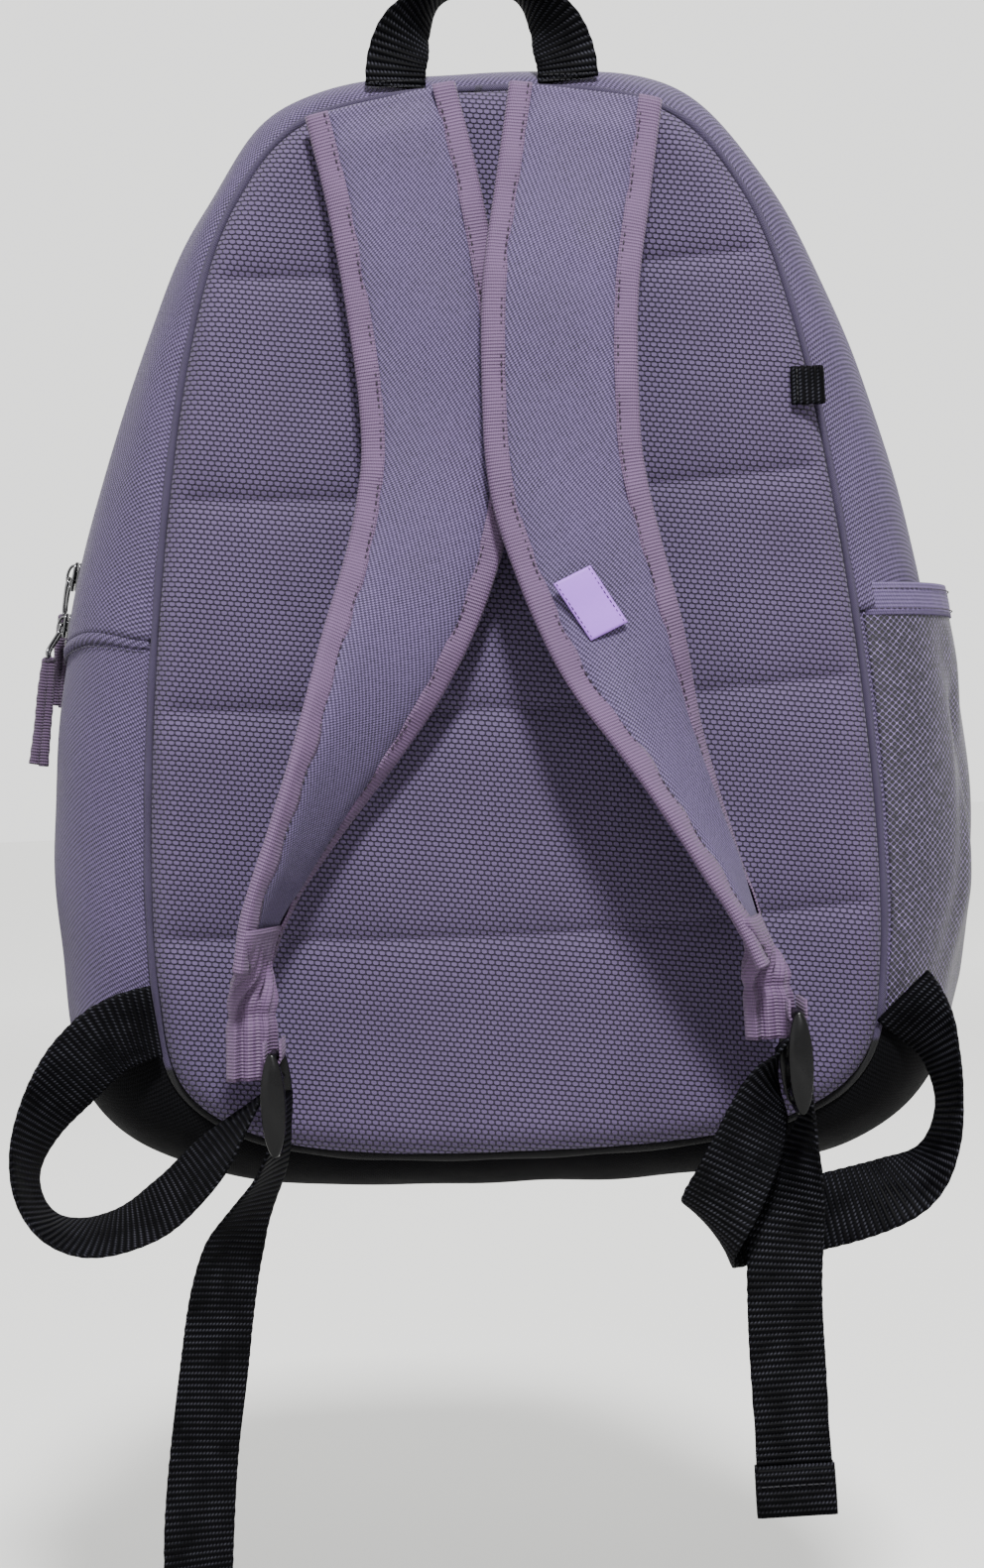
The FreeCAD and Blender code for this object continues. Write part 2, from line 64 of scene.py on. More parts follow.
# ------------------------------------------------------------ node materials
class Nodes:
    """A material's node tree, with short calls for its maths."""

    def __init__(self, name, color, rough=0.8, metal=0.0, sheen=0.0, spec=0.3, coat=0.0):
        self.mat = bpy.data.materials.new(name)
        self.mat.use_nodes = True
        self.tree = self.mat.node_tree
        self.bsdf = self.tree.nodes["Principled BSDF"]
        self.set("Base Color", (*color, 1))
        self.set("Roughness", rough)
        self.set("Metallic", metal)
        self.set("Specular IOR Level", spec)
        self.set("Sheen Weight", sheen)
        self.set("Sheen Roughness", 0.45)
        self.set("Coat Weight", coat)

    def set(self, socket, value):
        self.bsdf.inputs[socket].default_value = value

    def node(self, kind, **inputs):
        n = self.tree.nodes.new("ShaderNode" + kind)
        for key, value in inputs.items():
            self.feed(n.inputs[key.replace("_", " ")], value)
        return n

    def feed(self, socket, value):
        if hasattr(value, "is_output"):
            self.tree.links.new(value, socket)
        else:
            socket.default_value = value

    def m(self, op, a, b=0.0, c=0.0):
        n = self.tree.nodes.new("ShaderNodeMath")
        n.operation = op
        for i, v in enumerate((a, b, c)):
            self.feed(n.inputs[i], v)
        return n.outputs[0]

    def uv(self):
        """The surface's own coordinates, in millimetres."""
        n = self.node("UVMap")
        s = self.tree.nodes.new("ShaderNodeSeparateXYZ")
        self.tree.links.new(n.outputs[0], s.inputs[0])
        return self.m("MULTIPLY", s.outputs[0], 1000.0), self.m("MULTIPLY", s.outputs[1], 1000.0)

    def wave(self, value, period, shift=0.0):
        return self.m("SINE", self.m("MULTIPLY_ADD", value, 2 * math.pi / period, shift))

    def noise(self, scale, detail=3.0, rough=0.55):
        pos = self.node("TexCoord").outputs["Object"]
        return self.node("TexNoise", Vector=pos, Scale=scale, Detail=detail, Roughness=rough).outputs[0]

    def ramp(self, value, low, high, v0=0.0, v1=1.0):
        n = self.tree.nodes.new("ShaderNodeMapRange")
        for i, v in enumerate((value, low, high, v0, v1)):
            self.feed(n.inputs[i], v)
        return n.outputs[0]

    def mix(self, share, a, b):
        n = self.tree.nodes.new("ShaderNodeMix")
        n.data_type = "RGBA"
        self.feed(n.inputs[0], share)
        for i, v in ((6, a), (7, b)):
            self.feed(n.inputs[i], (*v, 1) if isinstance(v, tuple) else v)
        return n.outputs[2]

    def tint(self, share, color, dark, pale):
        """From one shade of a colour to another."""
        return self.mix(share, shade(color, dark), shade(color, pale))

    def finish(self, color=None, height=None, bump=0.0, rough=None):
        if color is not None:
            self.feed(self.bsdf.inputs["Base Color"], color)
        if rough is not None:
            self.feed(self.bsdf.inputs["Roughness"], rough)
        if height is not None:
            n = self.node("Bump", Strength=1.0, Distance=bump, Height=height)
            self.tree.links.new(n.outputs[0], self.bsdf.inputs["Normal"])
        return self.mat


def dark_below(mat, level, dark):
    """The same cloth, dyed dark below a height in metres, as where another cloth is let in."""
    tree = mat.node_tree
    bsdf = tree.nodes["Principled BSDF"]
    pos = tree.nodes.new("ShaderNodeSeparateXYZ")
    tree.links.new(tree.nodes.new("ShaderNodeTexCoord").outputs["Object"], pos.inputs[0])
    step = tree.nodes.new("ShaderNodeMapRange")
    step.inputs[1].default_value = level - 0.001
    step.inputs[2].default_value = level + 0.001
    tree.links.new(pos.outputs[2], step.inputs[0])
    mix = tree.nodes.new("ShaderNodeMix")
    mix.data_type = "RGBA"
    mix.inputs[6].default_value = (*dark, 1)
    tree.links.new(step.outputs[0], mix.inputs[0])
    tree.links.new(bsdf.inputs["Base Color"].links[0].from_socket, mix.inputs[7])
    tree.links.new(mix.outputs[2], bsdf.inputs["Base Color"])
    return mat


def shade(color, k):
    return tuple(min(1.0, c * k) for c in color)


def woven(name, color, period=1.2, bump=0.00025, contrast=0.5, sheen=0.04, twill=0.0, rough=0.78, spec=0.15):
    """Plain weave: a fine check of raised yarns with slow mottling; the raised yarns are painted paler as
    painted highlight and the gaps between them darker as painted shade.
    """
    n = Nodes(name, color, rough, sheen=sheen, spec=spec)
    u, v = n.uv()
    slant = n.m("MULTIPLY_ADD", v, twill, u)
    check = n.m("MULTIPLY", n.wave(slant, period), n.wave(v, period))
    yarn = n.ramp(check, -0.32, 0.32)
    mottle = n.noise(38.0, 4.0)
    fuzz = n.noise(700.0, 3.0)
    tone = n.m("MULTIPLY_ADD", n.ramp(fuzz, 0.3, 0.7), 0.24, n.m("MULTIPLY", yarn, 0.82))
    # Painted shade in low (the gaps between the yarns) and painted highlight in high (the raised yarns).
    low = n.tint(mottle, color, 1 - contrast, 1 - contrast * 0.7)
    high = n.tint(mottle, color, 1 + contrast * 0.35, 1 + contrast * 0.7)
    return n.finish(n.mix(tone, low, high), yarn, bump, n.ramp(mottle, 0.3, 0.7, rough - 0.08, rough + 0.08))


def dobby(name, color):
    """Back-pad cloth: staggered rows of raised floats, with dark dashes between them that are painted shadow
    under each float.
    """
    n = Nodes(name, color, 0.85, sheen=0.03, spec=0.12)
    u, v = n.uv()
    line = n.m("MULTIPLY_ADD", u, 0.06, n.m("DIVIDE", v, 2.05))
    half_step = n.m("MULTIPLY", n.m("FLOOR", line), 0.5)
    fx = n.m("SUBTRACT", n.m("FRACT", n.m("MULTIPLY_ADD", u, 1 / 2.8, half_step)), 0.5)
    fy = n.m("SUBTRACT", n.m("FRACT", line), 0.5)
    ends = n.m("POWER", n.m("ABSOLUTE", n.m("MULTIPLY", fx, 2.0)), 3.0)
    sides = n.m("POWER", n.m("ABSOLUTE", n.m("MULTIPLY", fy, 2.0)), 2.6)
    dash = n.ramp(n.m("ADD", ends, sides), 1.0, 0.35)
    mottle = n.noise(30.0, 4.0)
    fuzz = n.noise(1100.0, 2.0)
    tone = n.m("MULTIPLY_ADD", fuzz, 0.2, n.m("MULTIPLY", dash, 0.85))
    # Painted shadow: low darkens the dashes between the floats to a tenth of the cloth colour; high paints
    # the floats paler as lit.
    low = shade(color, 0.10)
    high = n.tint(mottle, color, 1.15, 1.65)
    return n.finish(n.mix(tone, low, high), dash, 0.0008, 0.85)


def ribbed(name, color, period=0.85, bump=0.0002, contrast=0.3, sheen=0.05, rough=0.6):
    """Grosgrain tape: fine ribs across its length, painted darker in the troughs as painted shade and paler
    on the crests as painted highlight.
    """
    n = Nodes(name, color, rough, sheen=sheen, spec=0.2)
    u, v = n.uv()
    rib = n.m("MULTIPLY_ADD", n.wave(v, period), 0.5, 0.5)
    grain = n.m("MULTIPLY_ADD", n.wave(u, 0.7), 0.2, rib)
    mottle = n.noise(60.0, 4.0)
    # Painted shade in low on the rib troughs, painted highlight in high on the crests.
    low = n.tint(mottle, color, 1 - contrast, 1 - contrast * 0.6)
    high = n.tint(mottle, color, 1.0, 1 + contrast)
    return n.finish(n.mix(grain, low, high), grain, bump)


def webbing_material(name, color):
    """Black webbing: rows of small raised dashes across it, painted pale as painted highlights, and plain
    woven edges.
    """
    n = Nodes(name, color, 0.5, spec=0.02)
    u, v = n.uv()
    row = n.m("POWER", n.m("ABSOLUTE", n.wave(v, 5.0)), 4.0)
    pick = n.ramp(n.wave(n.m("MULTIPLY_ADD", v, 0.5, u), 1.5), -0.9, 0.7)
    dash = n.m("MULTIPLY", row, pick)
    mottle = n.noise(80.0, 3.0)
    # Painted highlight: the raised dashes are 6 to 30 times paler than the black of the webbing.
    high = n.tint(n.ramp(mottle, 0.35, 0.65), color, 6.0, 30.0)
    return n.finish(n.mix(dash, color, high), n.m("MULTIPLY_ADD", dash, 0.7, row), 0.0006,
                    n.ramp(mottle, 0.3, 0.7, 0.48, 0.66))


def net(name, color):
    """Warp-knit mesh: pale yarns round holes painted near-black as painted shade, in slanting rows."""
    n = Nodes(name, color, 0.5, sheen=0.03, spec=0.3)
    u, v = n.uv()
    a = n.wave(n.m("ADD", u, v), 5.4)
    b = n.wave(n.m("SUBTRACT", u, v), 6.0)
    hole = n.ramp(n.m("ABSOLUTE", n.m("MULTIPLY", a, b)), 0.06, 0.34)
    mottle = n.ramp(n.noise(420.0, 3.0), 0.35, 0.75)
    yarn = n.tint(mottle, color, 0.7, 4.0)
    # Painted shade: the holes are a twentieth of the yarn's colour rather than open onto the panel behind.
    return n.finish(n.mix(hole, yarn, shade(color, 0.05)), n.m("SUBTRACT", 1.0, hole), 0.0014, 0.5)


def moulded(name, color, rough=0.28, metal=0.0, coat=0.15, spec=0.5):
    """Moulded plastic or plated metal: faint flow marks and handling scuffs."""
    n = Nodes(name, color, rough, metal=metal, spec=spec, coat=coat)
    fine = n.noise(420.0, 3.0)
    slow = n.noise(60.0, 4.0)
    return n.finish(n.tint(slow, color, 0.8, 1.35), fine, 0.00006,
                    n.ramp(slow, 0.3, 0.7, rough * 0.75, rough * 1.5))


PURPLE = (0.0345, 0.0250, 0.0565)
PAD = (0.0315, 0.0228, 0.0480)
MAUVE = (0.0490, 0.0270, 0.0600)
BLACK = (0.0007, 0.0007, 0.0009)
M_BODY = woven("body_cloth", shade(PURPLE, 1.12), period=2.0, contrast=0.98, bump=0.0007, twill=0.5)
M_STRAP = woven("strap_cloth", shade(PURPLE, 1.28), period=1.8, contrast=0.95, bump=0.0005, twill=0.5)
M_PAD = dobby("back_pad_cloth", PAD)
M_PIPE = woven("piping_cloth", shade(PURPLE, 0.6), period=0.9, contrast=0.5)
dark_below(M_PIPE, LET_IN, shade(BLACK, 2.5))
M_TAPE = ribbed("mauve_binding", shade(MAUVE, 1.06), period=1.35, bump=0.0003, contrast=0.4)
M_BASE = woven("base_cloth", shade(BLACK, 2.0), period=1.8, contrast=0.9, sheen=0.0, spec=0.03)
M_WEB = webbing_material("black_webbing", BLACK)
M_NET = net("pocket_net", shade(PURPLE, 1.15))
M_BUCKLE = moulded("buckle_plastic", (0.0012, 0.0012, 0.0014), 0.26, coat=0.0, spec=0.12)
M_CORD = ribbed("pull_cord", shade(MAUVE, 0.62), period=1.3, bump=0.0005, contrast=0.5)
M_ELASTIC = woven("elastic", shade(PURPLE, 1.45), period=1.6, bump=0.0004, contrast=0.6, twill=1.0)
M_METAL = moulded("gunmetal", (0.10, 0.10, 0.105), 0.16, metal=1.0, coat=0.0)
M_ZIP = ribbed("zip_tape", shade(PURPLE, 0.55), period=0.7)
M_COIL = moulded("zip_coil", shade(PURPLE, 0.45), 0.45, coat=0.0, spec=0.25)
M_LABEL = woven("label_cloth", (0.19, 0.075, 0.37), period=0.5, bump=0.00008, contrast=0.12, rough=0.55)
M_THREAD = ribbed("thread_dark", shade(PURPLE, 0.35), period=0.5)
M_THREAD_PALE = ribbed("thread_mauve", shade(MAUVE, 0.22), period=0.5)
M_THREAD_BLACK = ribbed("thread_black", shade(BLACK, 14.0), period=0.5)
M_FOAM = woven("foam", (0.40, 0.40, 0.38), period=0.8, bump=0.0001, contrast=0.1)
M_LINING = woven("coated_lining", (0.030, 0.030, 0.034), period=0.6, contrast=0.2, rough=0.45)


# ------------------------------------------------------------ meshes from grids
def add_mesh(name, verts, faces, uvs, mat):
    """A mesh object from points in millimetres; uvs are per point, in millimetres."""
    data = bpy.data.meshes.new(name)
    data.from_pydata((np.asarray(verts) * MM).tolist(), [], [list(map(int, f)) for f in faces])
    if uvs is not None:
        layer = data.uv_layers.new(name="UVMap")
        index = np.zeros(len(data.loops), int)
        data.loops.foreach_get("vertex_index", index)
        layer.data.foreach_set("uv", (np.asarray(uvs)[index] * MM).astype(np.float32).ravel())
    data.materials.append(mat)
    data.polygons.foreach_set("use_smooth", [True] * len(data.polygons))
    data.validate()
    obj = bpy.data.objects.new(name, data)
    bpy.context.scene.collection.objects.link(obj)
    return obj


def unit(v):
    """The rows of v at length one."""
    return v / np.linalg.norm(v, axis=-1, keepdims=True)


def running(path):
    """Running length along a path, from zero at its start."""
    return np.concatenate([[0], np.cumsum(np.linalg.norm(np.diff(path, axis=0), axis=1))])


def heading(path):
    """Direction of travel at each point of a path."""
    return unit(np.gradient(path, axis=0))


def square_to(wide, along):
    """The part of a width direction that stands square to the path, at length one."""
    return unit(wide - along * np.sum(wide * along, 1, keepdims=True))


def quarter(k):
    """Height of a quarter circle, from 0 at k = 0 to 1 at k = 1."""
    return np.sqrt(np.clip(1 - (1 - np.clip(k, 0, 1)) ** 2, 0, 1))


def at_depth(x, y, d):
    """Rows of points at x and y, d below the seam's top; single numbers serve every row."""
    x, y, d = np.broadcast_arrays(x, y, d)
    return np.column_stack([x, y, SEAM_Z - d])


def grid_faces(rows, cols, wrap=False):
    i, j = np.meshgrid(np.arange(rows - 1), np.arange(cols if wrap else cols - 1), indexing="ij")
    k = (j + 1) % cols
    quads = np.stack([i * cols + j, i * cols + k, (i + 1) * cols + k, (i + 1) * cols + j], -1)
    return quads.reshape(-1, 4).tolist()


def capped(rows, cols):
    """Faces of a tube made of rings, with a flat cap at each end."""
    caps = [list(range(cols))[::-1], [(rows - 1) * cols + j for j in range(cols)]]
    return grid_faces(rows, cols, wrap=True) + caps


def rings_mesh(name, rings, u, v, mat):
    """Capped tube from rings of points; u runs round it and v along it."""
    uv = np.stack(np.broadcast_arrays(u[None], v[:, None]), -1)
    return add_mesh(name, rings.reshape(-1, 3), capped(*rings.shape[:2]), uv.reshape(-1, 2), mat)


def spans(points, axis):
    """Running length in millimetres along one axis of a grid of points."""
    step = np.linalg.norm(np.diff(points, axis=axis), axis=-1)
    pad = [(1, 0), (0, 0)] if axis == 0 else [(0, 0), (1, 0)]
    return np.pad(np.cumsum(step, axis=axis), pad)


def grid_uv(points):
    u = spans(points, 1)
    u = u - u[:, -1:] / 2
    v = np.repeat(spans(points, 0).mean(axis=1, keepdims=True), points.shape[1], 1)
    return np.stack([u, v], -1)


def normals(points):
    du = np.gradient(points, axis=1)
    dv = np.gradient(points, axis=0)
    n = np.cross(du, dv)
    return n / np.maximum(np.linalg.norm(n, axis=-1, keepdims=True), 1e-9)


def cloth(name, points, mat, thick=1.0, out=1, uv=None):
    """Sheet with a real thickness behind the given surface, closed all round its rim."""
    points = np.asarray(points, float)
    rows, cols = points.shape[:2]
    uv = grid_uv(points) if uv is None else uv
    back = points - out * normals(points) * thick
    verts = np.concatenate([points.reshape(-1, 3), back.reshape(-1, 3)])
    faces = grid_faces(rows, cols)
    if out < 0:
        faces = [f[::-1] for f in faces]
    size = rows * cols
    faces += [[v + size for v in f[::-1]] for f in faces]
    rim = [(i, 0) for i in range(rows)] + [(rows - 1, j) for j in range(1, cols)]
    rim += [(i, cols - 1) for i in range(rows - 2, -1, -1)] + [(0, j) for j in range(cols - 2, 0, -1)]
    rim = [i * cols + j for i, j in rim]
    for a, b in zip(rim, rim[1:] + rim[:1]):
        face = [a, b, b + size, a + size]
        faces.append(face[::-1] if out < 0 else face)
    both = np.concatenate([uv.reshape(-1, 2)] * 2)
    return add_mesh(name, verts, faces, both, mat)


def tube(name, path, radius, mat, sides=10, closed=False, flat=1.0, ref=(0, 1, 0)):
    """Round or flattened tube along points; radius may be an array."""
    path = np.asarray(path, float)
    count = len(path)
    along = unit(np.roll(path, -1, 0) - np.roll(path, 1, 0)) if closed else heading(path)
    side = unit(np.cross(along, np.broadcast_to(ref, path.shape)))
    up = np.cross(side, along)
    r = np.broadcast_to(radius, (count,))[:, None, None]
    turn = np.linspace(0, 2 * np.pi, sides, endpoint=False)
    ring = np.cos(turn)[None, :, None] * side[:, None] + flat * np.sin(turn)[None, :, None] * up[:, None]
    verts = path[:, None] + ring * r
    faces = capped(count, sides)
    if closed:
        last = (count - 1) * sides
        faces[-2:] = [[last + j, last + (j + 1) % sides, (j + 1) % sides, j] for j in range(sides)]
    uv = np.stack(np.broadcast_arrays(turn[None, :] * np.mean(radius), running(path)[:, None]), -1)
    return add_mesh(name, verts.reshape(-1, 3), faces, uv.reshape(-1, 2), mat)


def stitches(name, path, out, mat, pitch=3.0, length=2.1, radius=0.28, lift=0.12):
    """A row of thread stitches along points; out is the surface's outward direction at each."""
    path = np.asarray(path, float)
    out = np.broadcast_to(np.asarray(out, float), path.shape)
    step = running(path)
    places = np.arange(pitch / 2, step[-1] - pitch / 2, pitch)
    verts, faces, uvs = [], [], []
    for s in places:
        ends = [np.array([np.interp(s + k * length / 2, step, path[:, a]) for a in range(3)])
                for k in (-1, 0, 1)]
        n = np.array([np.interp(s, step, out[:, a]) for a in range(3)])
        n /= np.linalg.norm(n)
        along = ends[2] - ends[0]
        along /= max(np.linalg.norm(along), 1e-9)
        side = np.cross(along, n)
        side /= max(np.linalg.norm(side), 1e-9)
        base = len(verts)
        for k, (end, rise, fat) in enumerate(zip(ends, (-0.5, 0.6, -0.5), (0.6, 1.0, 0.6))):
            mid = end + n * (lift + rise * radius)
            for a in range(6):
                t = a * math.pi / 3
                verts.append(mid + (side * math.cos(t) + n * math.sin(t)) * radius * fat)
                uvs.append((t * radius, k * length / 2))
        for k in range(2):
            for a in range(6):
                b = (a + 1) % 6
                faces.append([base + k * 6 + a, base + k * 6 + b, base + k * 6 + 6 + b, base + k * 6 + 6 + a])
        faces.append([base + a for a in range(5, -1, -1)])
        faces.append([base + 12 + a for a in range(6)])
    return add_mesh(name, verts, faces, np.array(uvs), mat)


def cad_box(node):
    """Lowest and highest corner of a CAD node, in millimetres."""
    return (np.array(p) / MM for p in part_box(node))


def place(obj, body, stands_for=(), parent=None):
    if parent is not None:
        obj.parent = parent
    else:
        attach(obj, body)
    if stands_for:
        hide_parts(*stands_for)
    return obj


def sew(onto, name, *args):
    """Stitches fixed to the piece they are sewn into; the rest goes to stitches()."""
    place(stitches(name, *args), None, parent=onto)


def bag_sheet(name, points, mat, thick, out, node, uv=None):
    """A sheet on the bag itself, standing for one node of the CAD."""
    return place(cloth(name, points, mat, thick, out, uv), "pack", [node])


# ------------------------------------------------------------ outlines of the bag
SEAM_SIDE = [(75, 11), (105, 44), (125, 100), (147, 250), (150, 368), (141, 408), (108, 430)]
FULL_LEFT = [(84, -5), (122, 40), (153, 105), (188, 215), (197, 345), (186, 415), (140, 446)]
FULL_RIGHT = [(84, -5), (122, 40), (153, 105), (181, 215), (188, 345), (178, 414), (138, 446)]


def loop_points(top, left, right, bottom):
    pts = [(0, top)] + list(right) + [(0, bottom)] + [(-x, d) for x, d in reversed(left)]
    return np.array(pts, float)


SEAM_LINE = loop_points(0, SEAM_SIDE, SEAM_SIDE, SEAM_LOW)
FULL_LINE = loop_points(-15, FULL_LEFT, FULL_RIGHT, 457)


def smooth_closed(points, per=24):
    """Centripetal curve through the points of a closed outline."""
    n = len(points)
    out = []
    for i in range(n):
        p = [points[(i + k) % n] for k in (-1, 0, 1, 2)]
        t = [0.0]
        for a, b in zip(p, p[1:]):
            t.append(t[-1] + max(np.linalg.norm(b - a), 1e-6) ** 0.5)
        for s in np.linspace(t[1], t[2], per, endpoint=False):
            a1 = [(t[k + 1] - s) / (t[k + 1] - t[k]) * p[k] + (s - t[k]) / (t[k + 1] - t[k]) * p[k + 1]
                  for k in range(3)]
            b1 = [(t[k + 2] - s) / (t[k + 2] - t[k]) * a1[k] + (s - t[k]) / (t[k + 2] - t[k]) * a1[k + 1]
                  for k in range(2)]
            out.append((t[2] - s) / (t[2] - t[1]) * b1[0] + (s - t[1]) / (t[2] - t[1]) * b1[1])
    return np.array(out)


SEAM_CURVE = smooth_closed(SEAM_LINE)
FULL_CURVE = smooth_closed(FULL_LINE)


def resample(points, count):
    s = running(points)
    t = np.linspace(0, s[-1], count)
    return np.stack([np.interp(t, s, points[:, a]) for a in range(points.shape[1])], -1)


def share_at(y):
    t = 1 - np.abs(np.clip(y, 0, DEPTH) - MID_Y) / MID_Y
    return math.sqrt(max(0.0, 1 - (1 - t) ** 2))


def outline_at(y):
    return SEAM_CURVE + (FULL_CURVE - SEAM_CURVE) * share_at(y)


def cut_outline(curve, d0, d1, where, count):
    """Part of an outline: over the top above d0, down one side, or round the bottom below d1."""
    half = len(curve) // 2
    right = curve[:half + 1]
    left = np.concatenate([curve[half:], curve[:1]])[::-1]

    def leg(side, a, b):
        d = side[:, 1]
        keep = [k for k in range(len(side)) if a < d[k] < b]
        ends = []
        for level in (a, b):
            ends.append([np.interp(level, d, side[:, 0]), level] if d[0] < level < d[-1] else None)
        body = [list(side[k]) for k in keep]
        return np.array(([ends[0]] if ends[0] else []) + body + ([ends[1]] if ends[1] else []))

    if where == "top":
        a, b = leg(left, -99, d0), leg(right, -99, d0)
        return resample(np.concatenate([a[::-1], b[1:] if abs(a[0][0]) < 1e-6 else b]), count)
    if where == "bottom":
        a, b = leg(left, d1, 999), leg(right, d1, 999)
        return resample(np.concatenate([a, b[::-1][1:]]), count)
    return resample(leg(left if where == "left" else right, d0, d1), count)


def away_from_middle(row):
    out = row - np.array([0, MID_Y, SEAM_Z - AXIS_D])
    out[..., 1] = 0
    return unit(out)


def surface(where, ys, count, d0=TOP_D, d1=BASE_D, grow=0.0):
    rows = []
    for y, start in zip(ys, np.broadcast_to(d0, (len(ys),))):
        line = cut_outline(outline_at(y), float(start), d1, where, count)
        rows.append(at_depth(line[:, 0], float(y), line[:, 1]))
    points = np.array(rows)
    if grow:
        points = points + away_from_middle(points) * grow
    return points


def arc_rows(y0, y1, count):
    """Depths spaced for an elliptic bulge, close together near the seams."""
    a, b = [math.acos(np.clip(1 - y / MID_Y, -1, 1)) for y in (y0, y1)]
    return [MID_Y * (1 - math.cos(t)) for t in np.linspace(a, b, count)]


def ripple(points, strength, seed, scale=40.0):
    """Slow uneven sag of a stuffed cloth shell along its normals, fading to nothing at the rim."""
    gen = np.random.default_rng(seed)
    wave = np.zeros(points.shape[:2])
    for _ in range(7):
        k = gen.normal(size=3) / scale
        wave += np.sin(points @ k * 2.2 + gen.uniform(0, 6.3))
    rows, cols = points.shape[:2]
    down, over = (np.sin(np.linspace(0, np.pi, count)) for count in (rows, cols))
    fade = down[:, None] ** 0.7 * over[None] ** 0.4
    return points + normals(points) * (wave * strength / 3.5 * fade)[..., None]


def crease(points, start, end, width, depth):
    """A soft valley pressed into the surface along a line."""
    a, b = np.array(start, float), np.array(end, float)
    ab = b - a
    t = np.clip(((points - a) @ ab) / (ab @ ab), 0, 1)
    gap = np.linalg.norm(points - a - t[..., None] * ab, axis=-1)
    fall = depth * np.exp(-(gap / width) ** 2) * np.sin(np.pi * np.clip(t, 0.02, 0.98)) ** 0.5
    return points - normals(points) * fall[..., None]


# ------------------------------------------------------------ gusset and base
def side_seam(ys):
    """Depth of the seam between the zip gusset and the side panels: it arches over the bag's side."""
    up = np.interp(ys, (0, 6, 16, 38, 57, 76, 98, 108, 114), (-1.5, 1.8, 3.2, 0.2, -3.0, 0.2, 3.2, 1.8, -1.5))
    return TOP_D - np.convolve(np.pad(up, 2, "edge"), np.ones(5) / 5, "valid")


ys = arc_rows(0, 47.5, 30)
rear = ripple(surface("top", ys, 200, side_seam(ys)), 0.9, 3)
ys = arc_rows(66.5, DEPTH, 30)
front = ripple(surface("top", ys, 200, side_seam(ys)), 0.9, 4)
bag_sheet("zip_gusset_rear_cloth", rear, M_BODY, 1.4, OUTWARD, "zip_gusset_rear")
bag_sheet("zip_gusset_front_cloth", front, M_BODY, 1.4, OUTWARD, "zip_gusset_front")
ys = arc_rows(0, DEPTH, 56)
side = ripple(surface("left", ys, 70, side_seam(ys)), 1.3, 5)
side = crease(side, (-170, 26, -330), (-156, 12, -425), 7, -3.2)
bag_sheet("side_panel_left_cloth", side, M_BODY, 1.4, OUTWARD, "side_panel_left")
side = ripple(surface("right", ys, 70, side_seam(ys)), -0.8, 6)
bag_sheet("side_panel_right_cloth", side, M_BODY, 1.4, -OUTWARD, "side_panel_right")
base = surface("bottom", arc_rows(0, DEPTH, 40), 190)
base = ripple(base, 0.9, 8)
bag_sheet("base_panel_cloth", base, M_BASE, 1.6, -OUTWARD, "base_panel")


# ------------------------------------------------------------ back pad
def half_width(d):
    """Half width of the pad at a depth below the seam top."""
    curve = SEAM_CURVE[:len(SEAM_CURVE) // 2 + 1]
    return np.interp(d, curve[:, 1], curve[:, 0])


QUILT = [77.0, 169.0, 256.0, 350.0]
PAD_EDGE = 1.0


def quilt_depth(line, x):
    """Depth of a quilting line at x: it sags a little at the middle of the pad."""
    return line - 6.5 * (np.abs(x) / 145.0) ** 1.6 - 0.012 * x


def pad_height(x, d, edge):
    round_off = quarter(edge / 13.0)
    swell = np.zeros_like(x)
    for line in QUILT:
        gap = np.abs(d - quilt_depth(line, x))
        swell -= 3.4 * np.exp(-gap / 5.2) + 0.9 * np.exp(-(gap / 16.0) ** 2)
    uneven = 0.35 * np.sin(x / 31.0 + d / 47.0) + 0.25 * np.sin(x / 17.0 - d / 23.0 + 1.0)
    return (11.6 + uneven * round_off + swell * np.clip(edge / 10.0, 0, 1)) * round_off


def pad_grid(count_d=280, count_x=150, inset=PAD_EDGE, drop=0.0):
    t = np.linspace(0, np.pi, count_d)
    d = inset + 0.6 + (SEAM_LOW - 2 * inset - 1.2) * (0.35 * (1 - np.cos(t)) / 2 + 0.65 * t / np.pi)
    hw = half_width(d) - inset
    f = np.sin(np.linspace(-np.pi / 2, np.pi / 2, count_x)) * 0.35 + np.linspace(-1, 1, count_x) * 0.65
    x = hw[:, None] * f[None]
    dd = np.repeat(d[:, None], count_x, 1)
    flat = np.stack([x, dd], -1).reshape(-1, 2)
    edge = np.full(len(flat), 1e9)
    for a, b in zip(SEAM_CURVE, np.roll(SEAM_CURVE, -1, 0)):
        ab = b - a
        k = np.clip(((flat - a) @ ab) / (ab @ ab), 0, 1)
        edge = np.minimum(edge, np.linalg.norm(flat - a - k[:, None] * ab, axis=1))
    edge = np.clip(edge.reshape(x.shape) - inset, 0, None)
    height = np.maximum(pad_height(x, dd, edge) - drop, 0.02)
    return np.stack([x, -height, SEAM_Z - dd], -1), np.stack([x, -dd], -1)


pad, pad_uv = pad_grid()
face = cloth("back_panel_quilted_face", pad, M_PAD, 1.0, 1, uv=pad_uv)
place(face, "pack", ["back_panel_face"])
core, core_uv = pad_grid(90, 60, 3.2, 1.4)
core_obj = cloth("back_panel_foam_core", core, M_FOAM, 0.8, 1, uv=core_uv)
place(core_obj, "pack", ["back_panel_foam"])


def pad_surface(x, d):
    edge = np.clip(np.minimum(half_width(d) - np.abs(x), 40.0) - PAD_EDGE, 0, None)
    return np.stack([x, -pad_height(x, d, edge), SEAM_Z - d], -1)


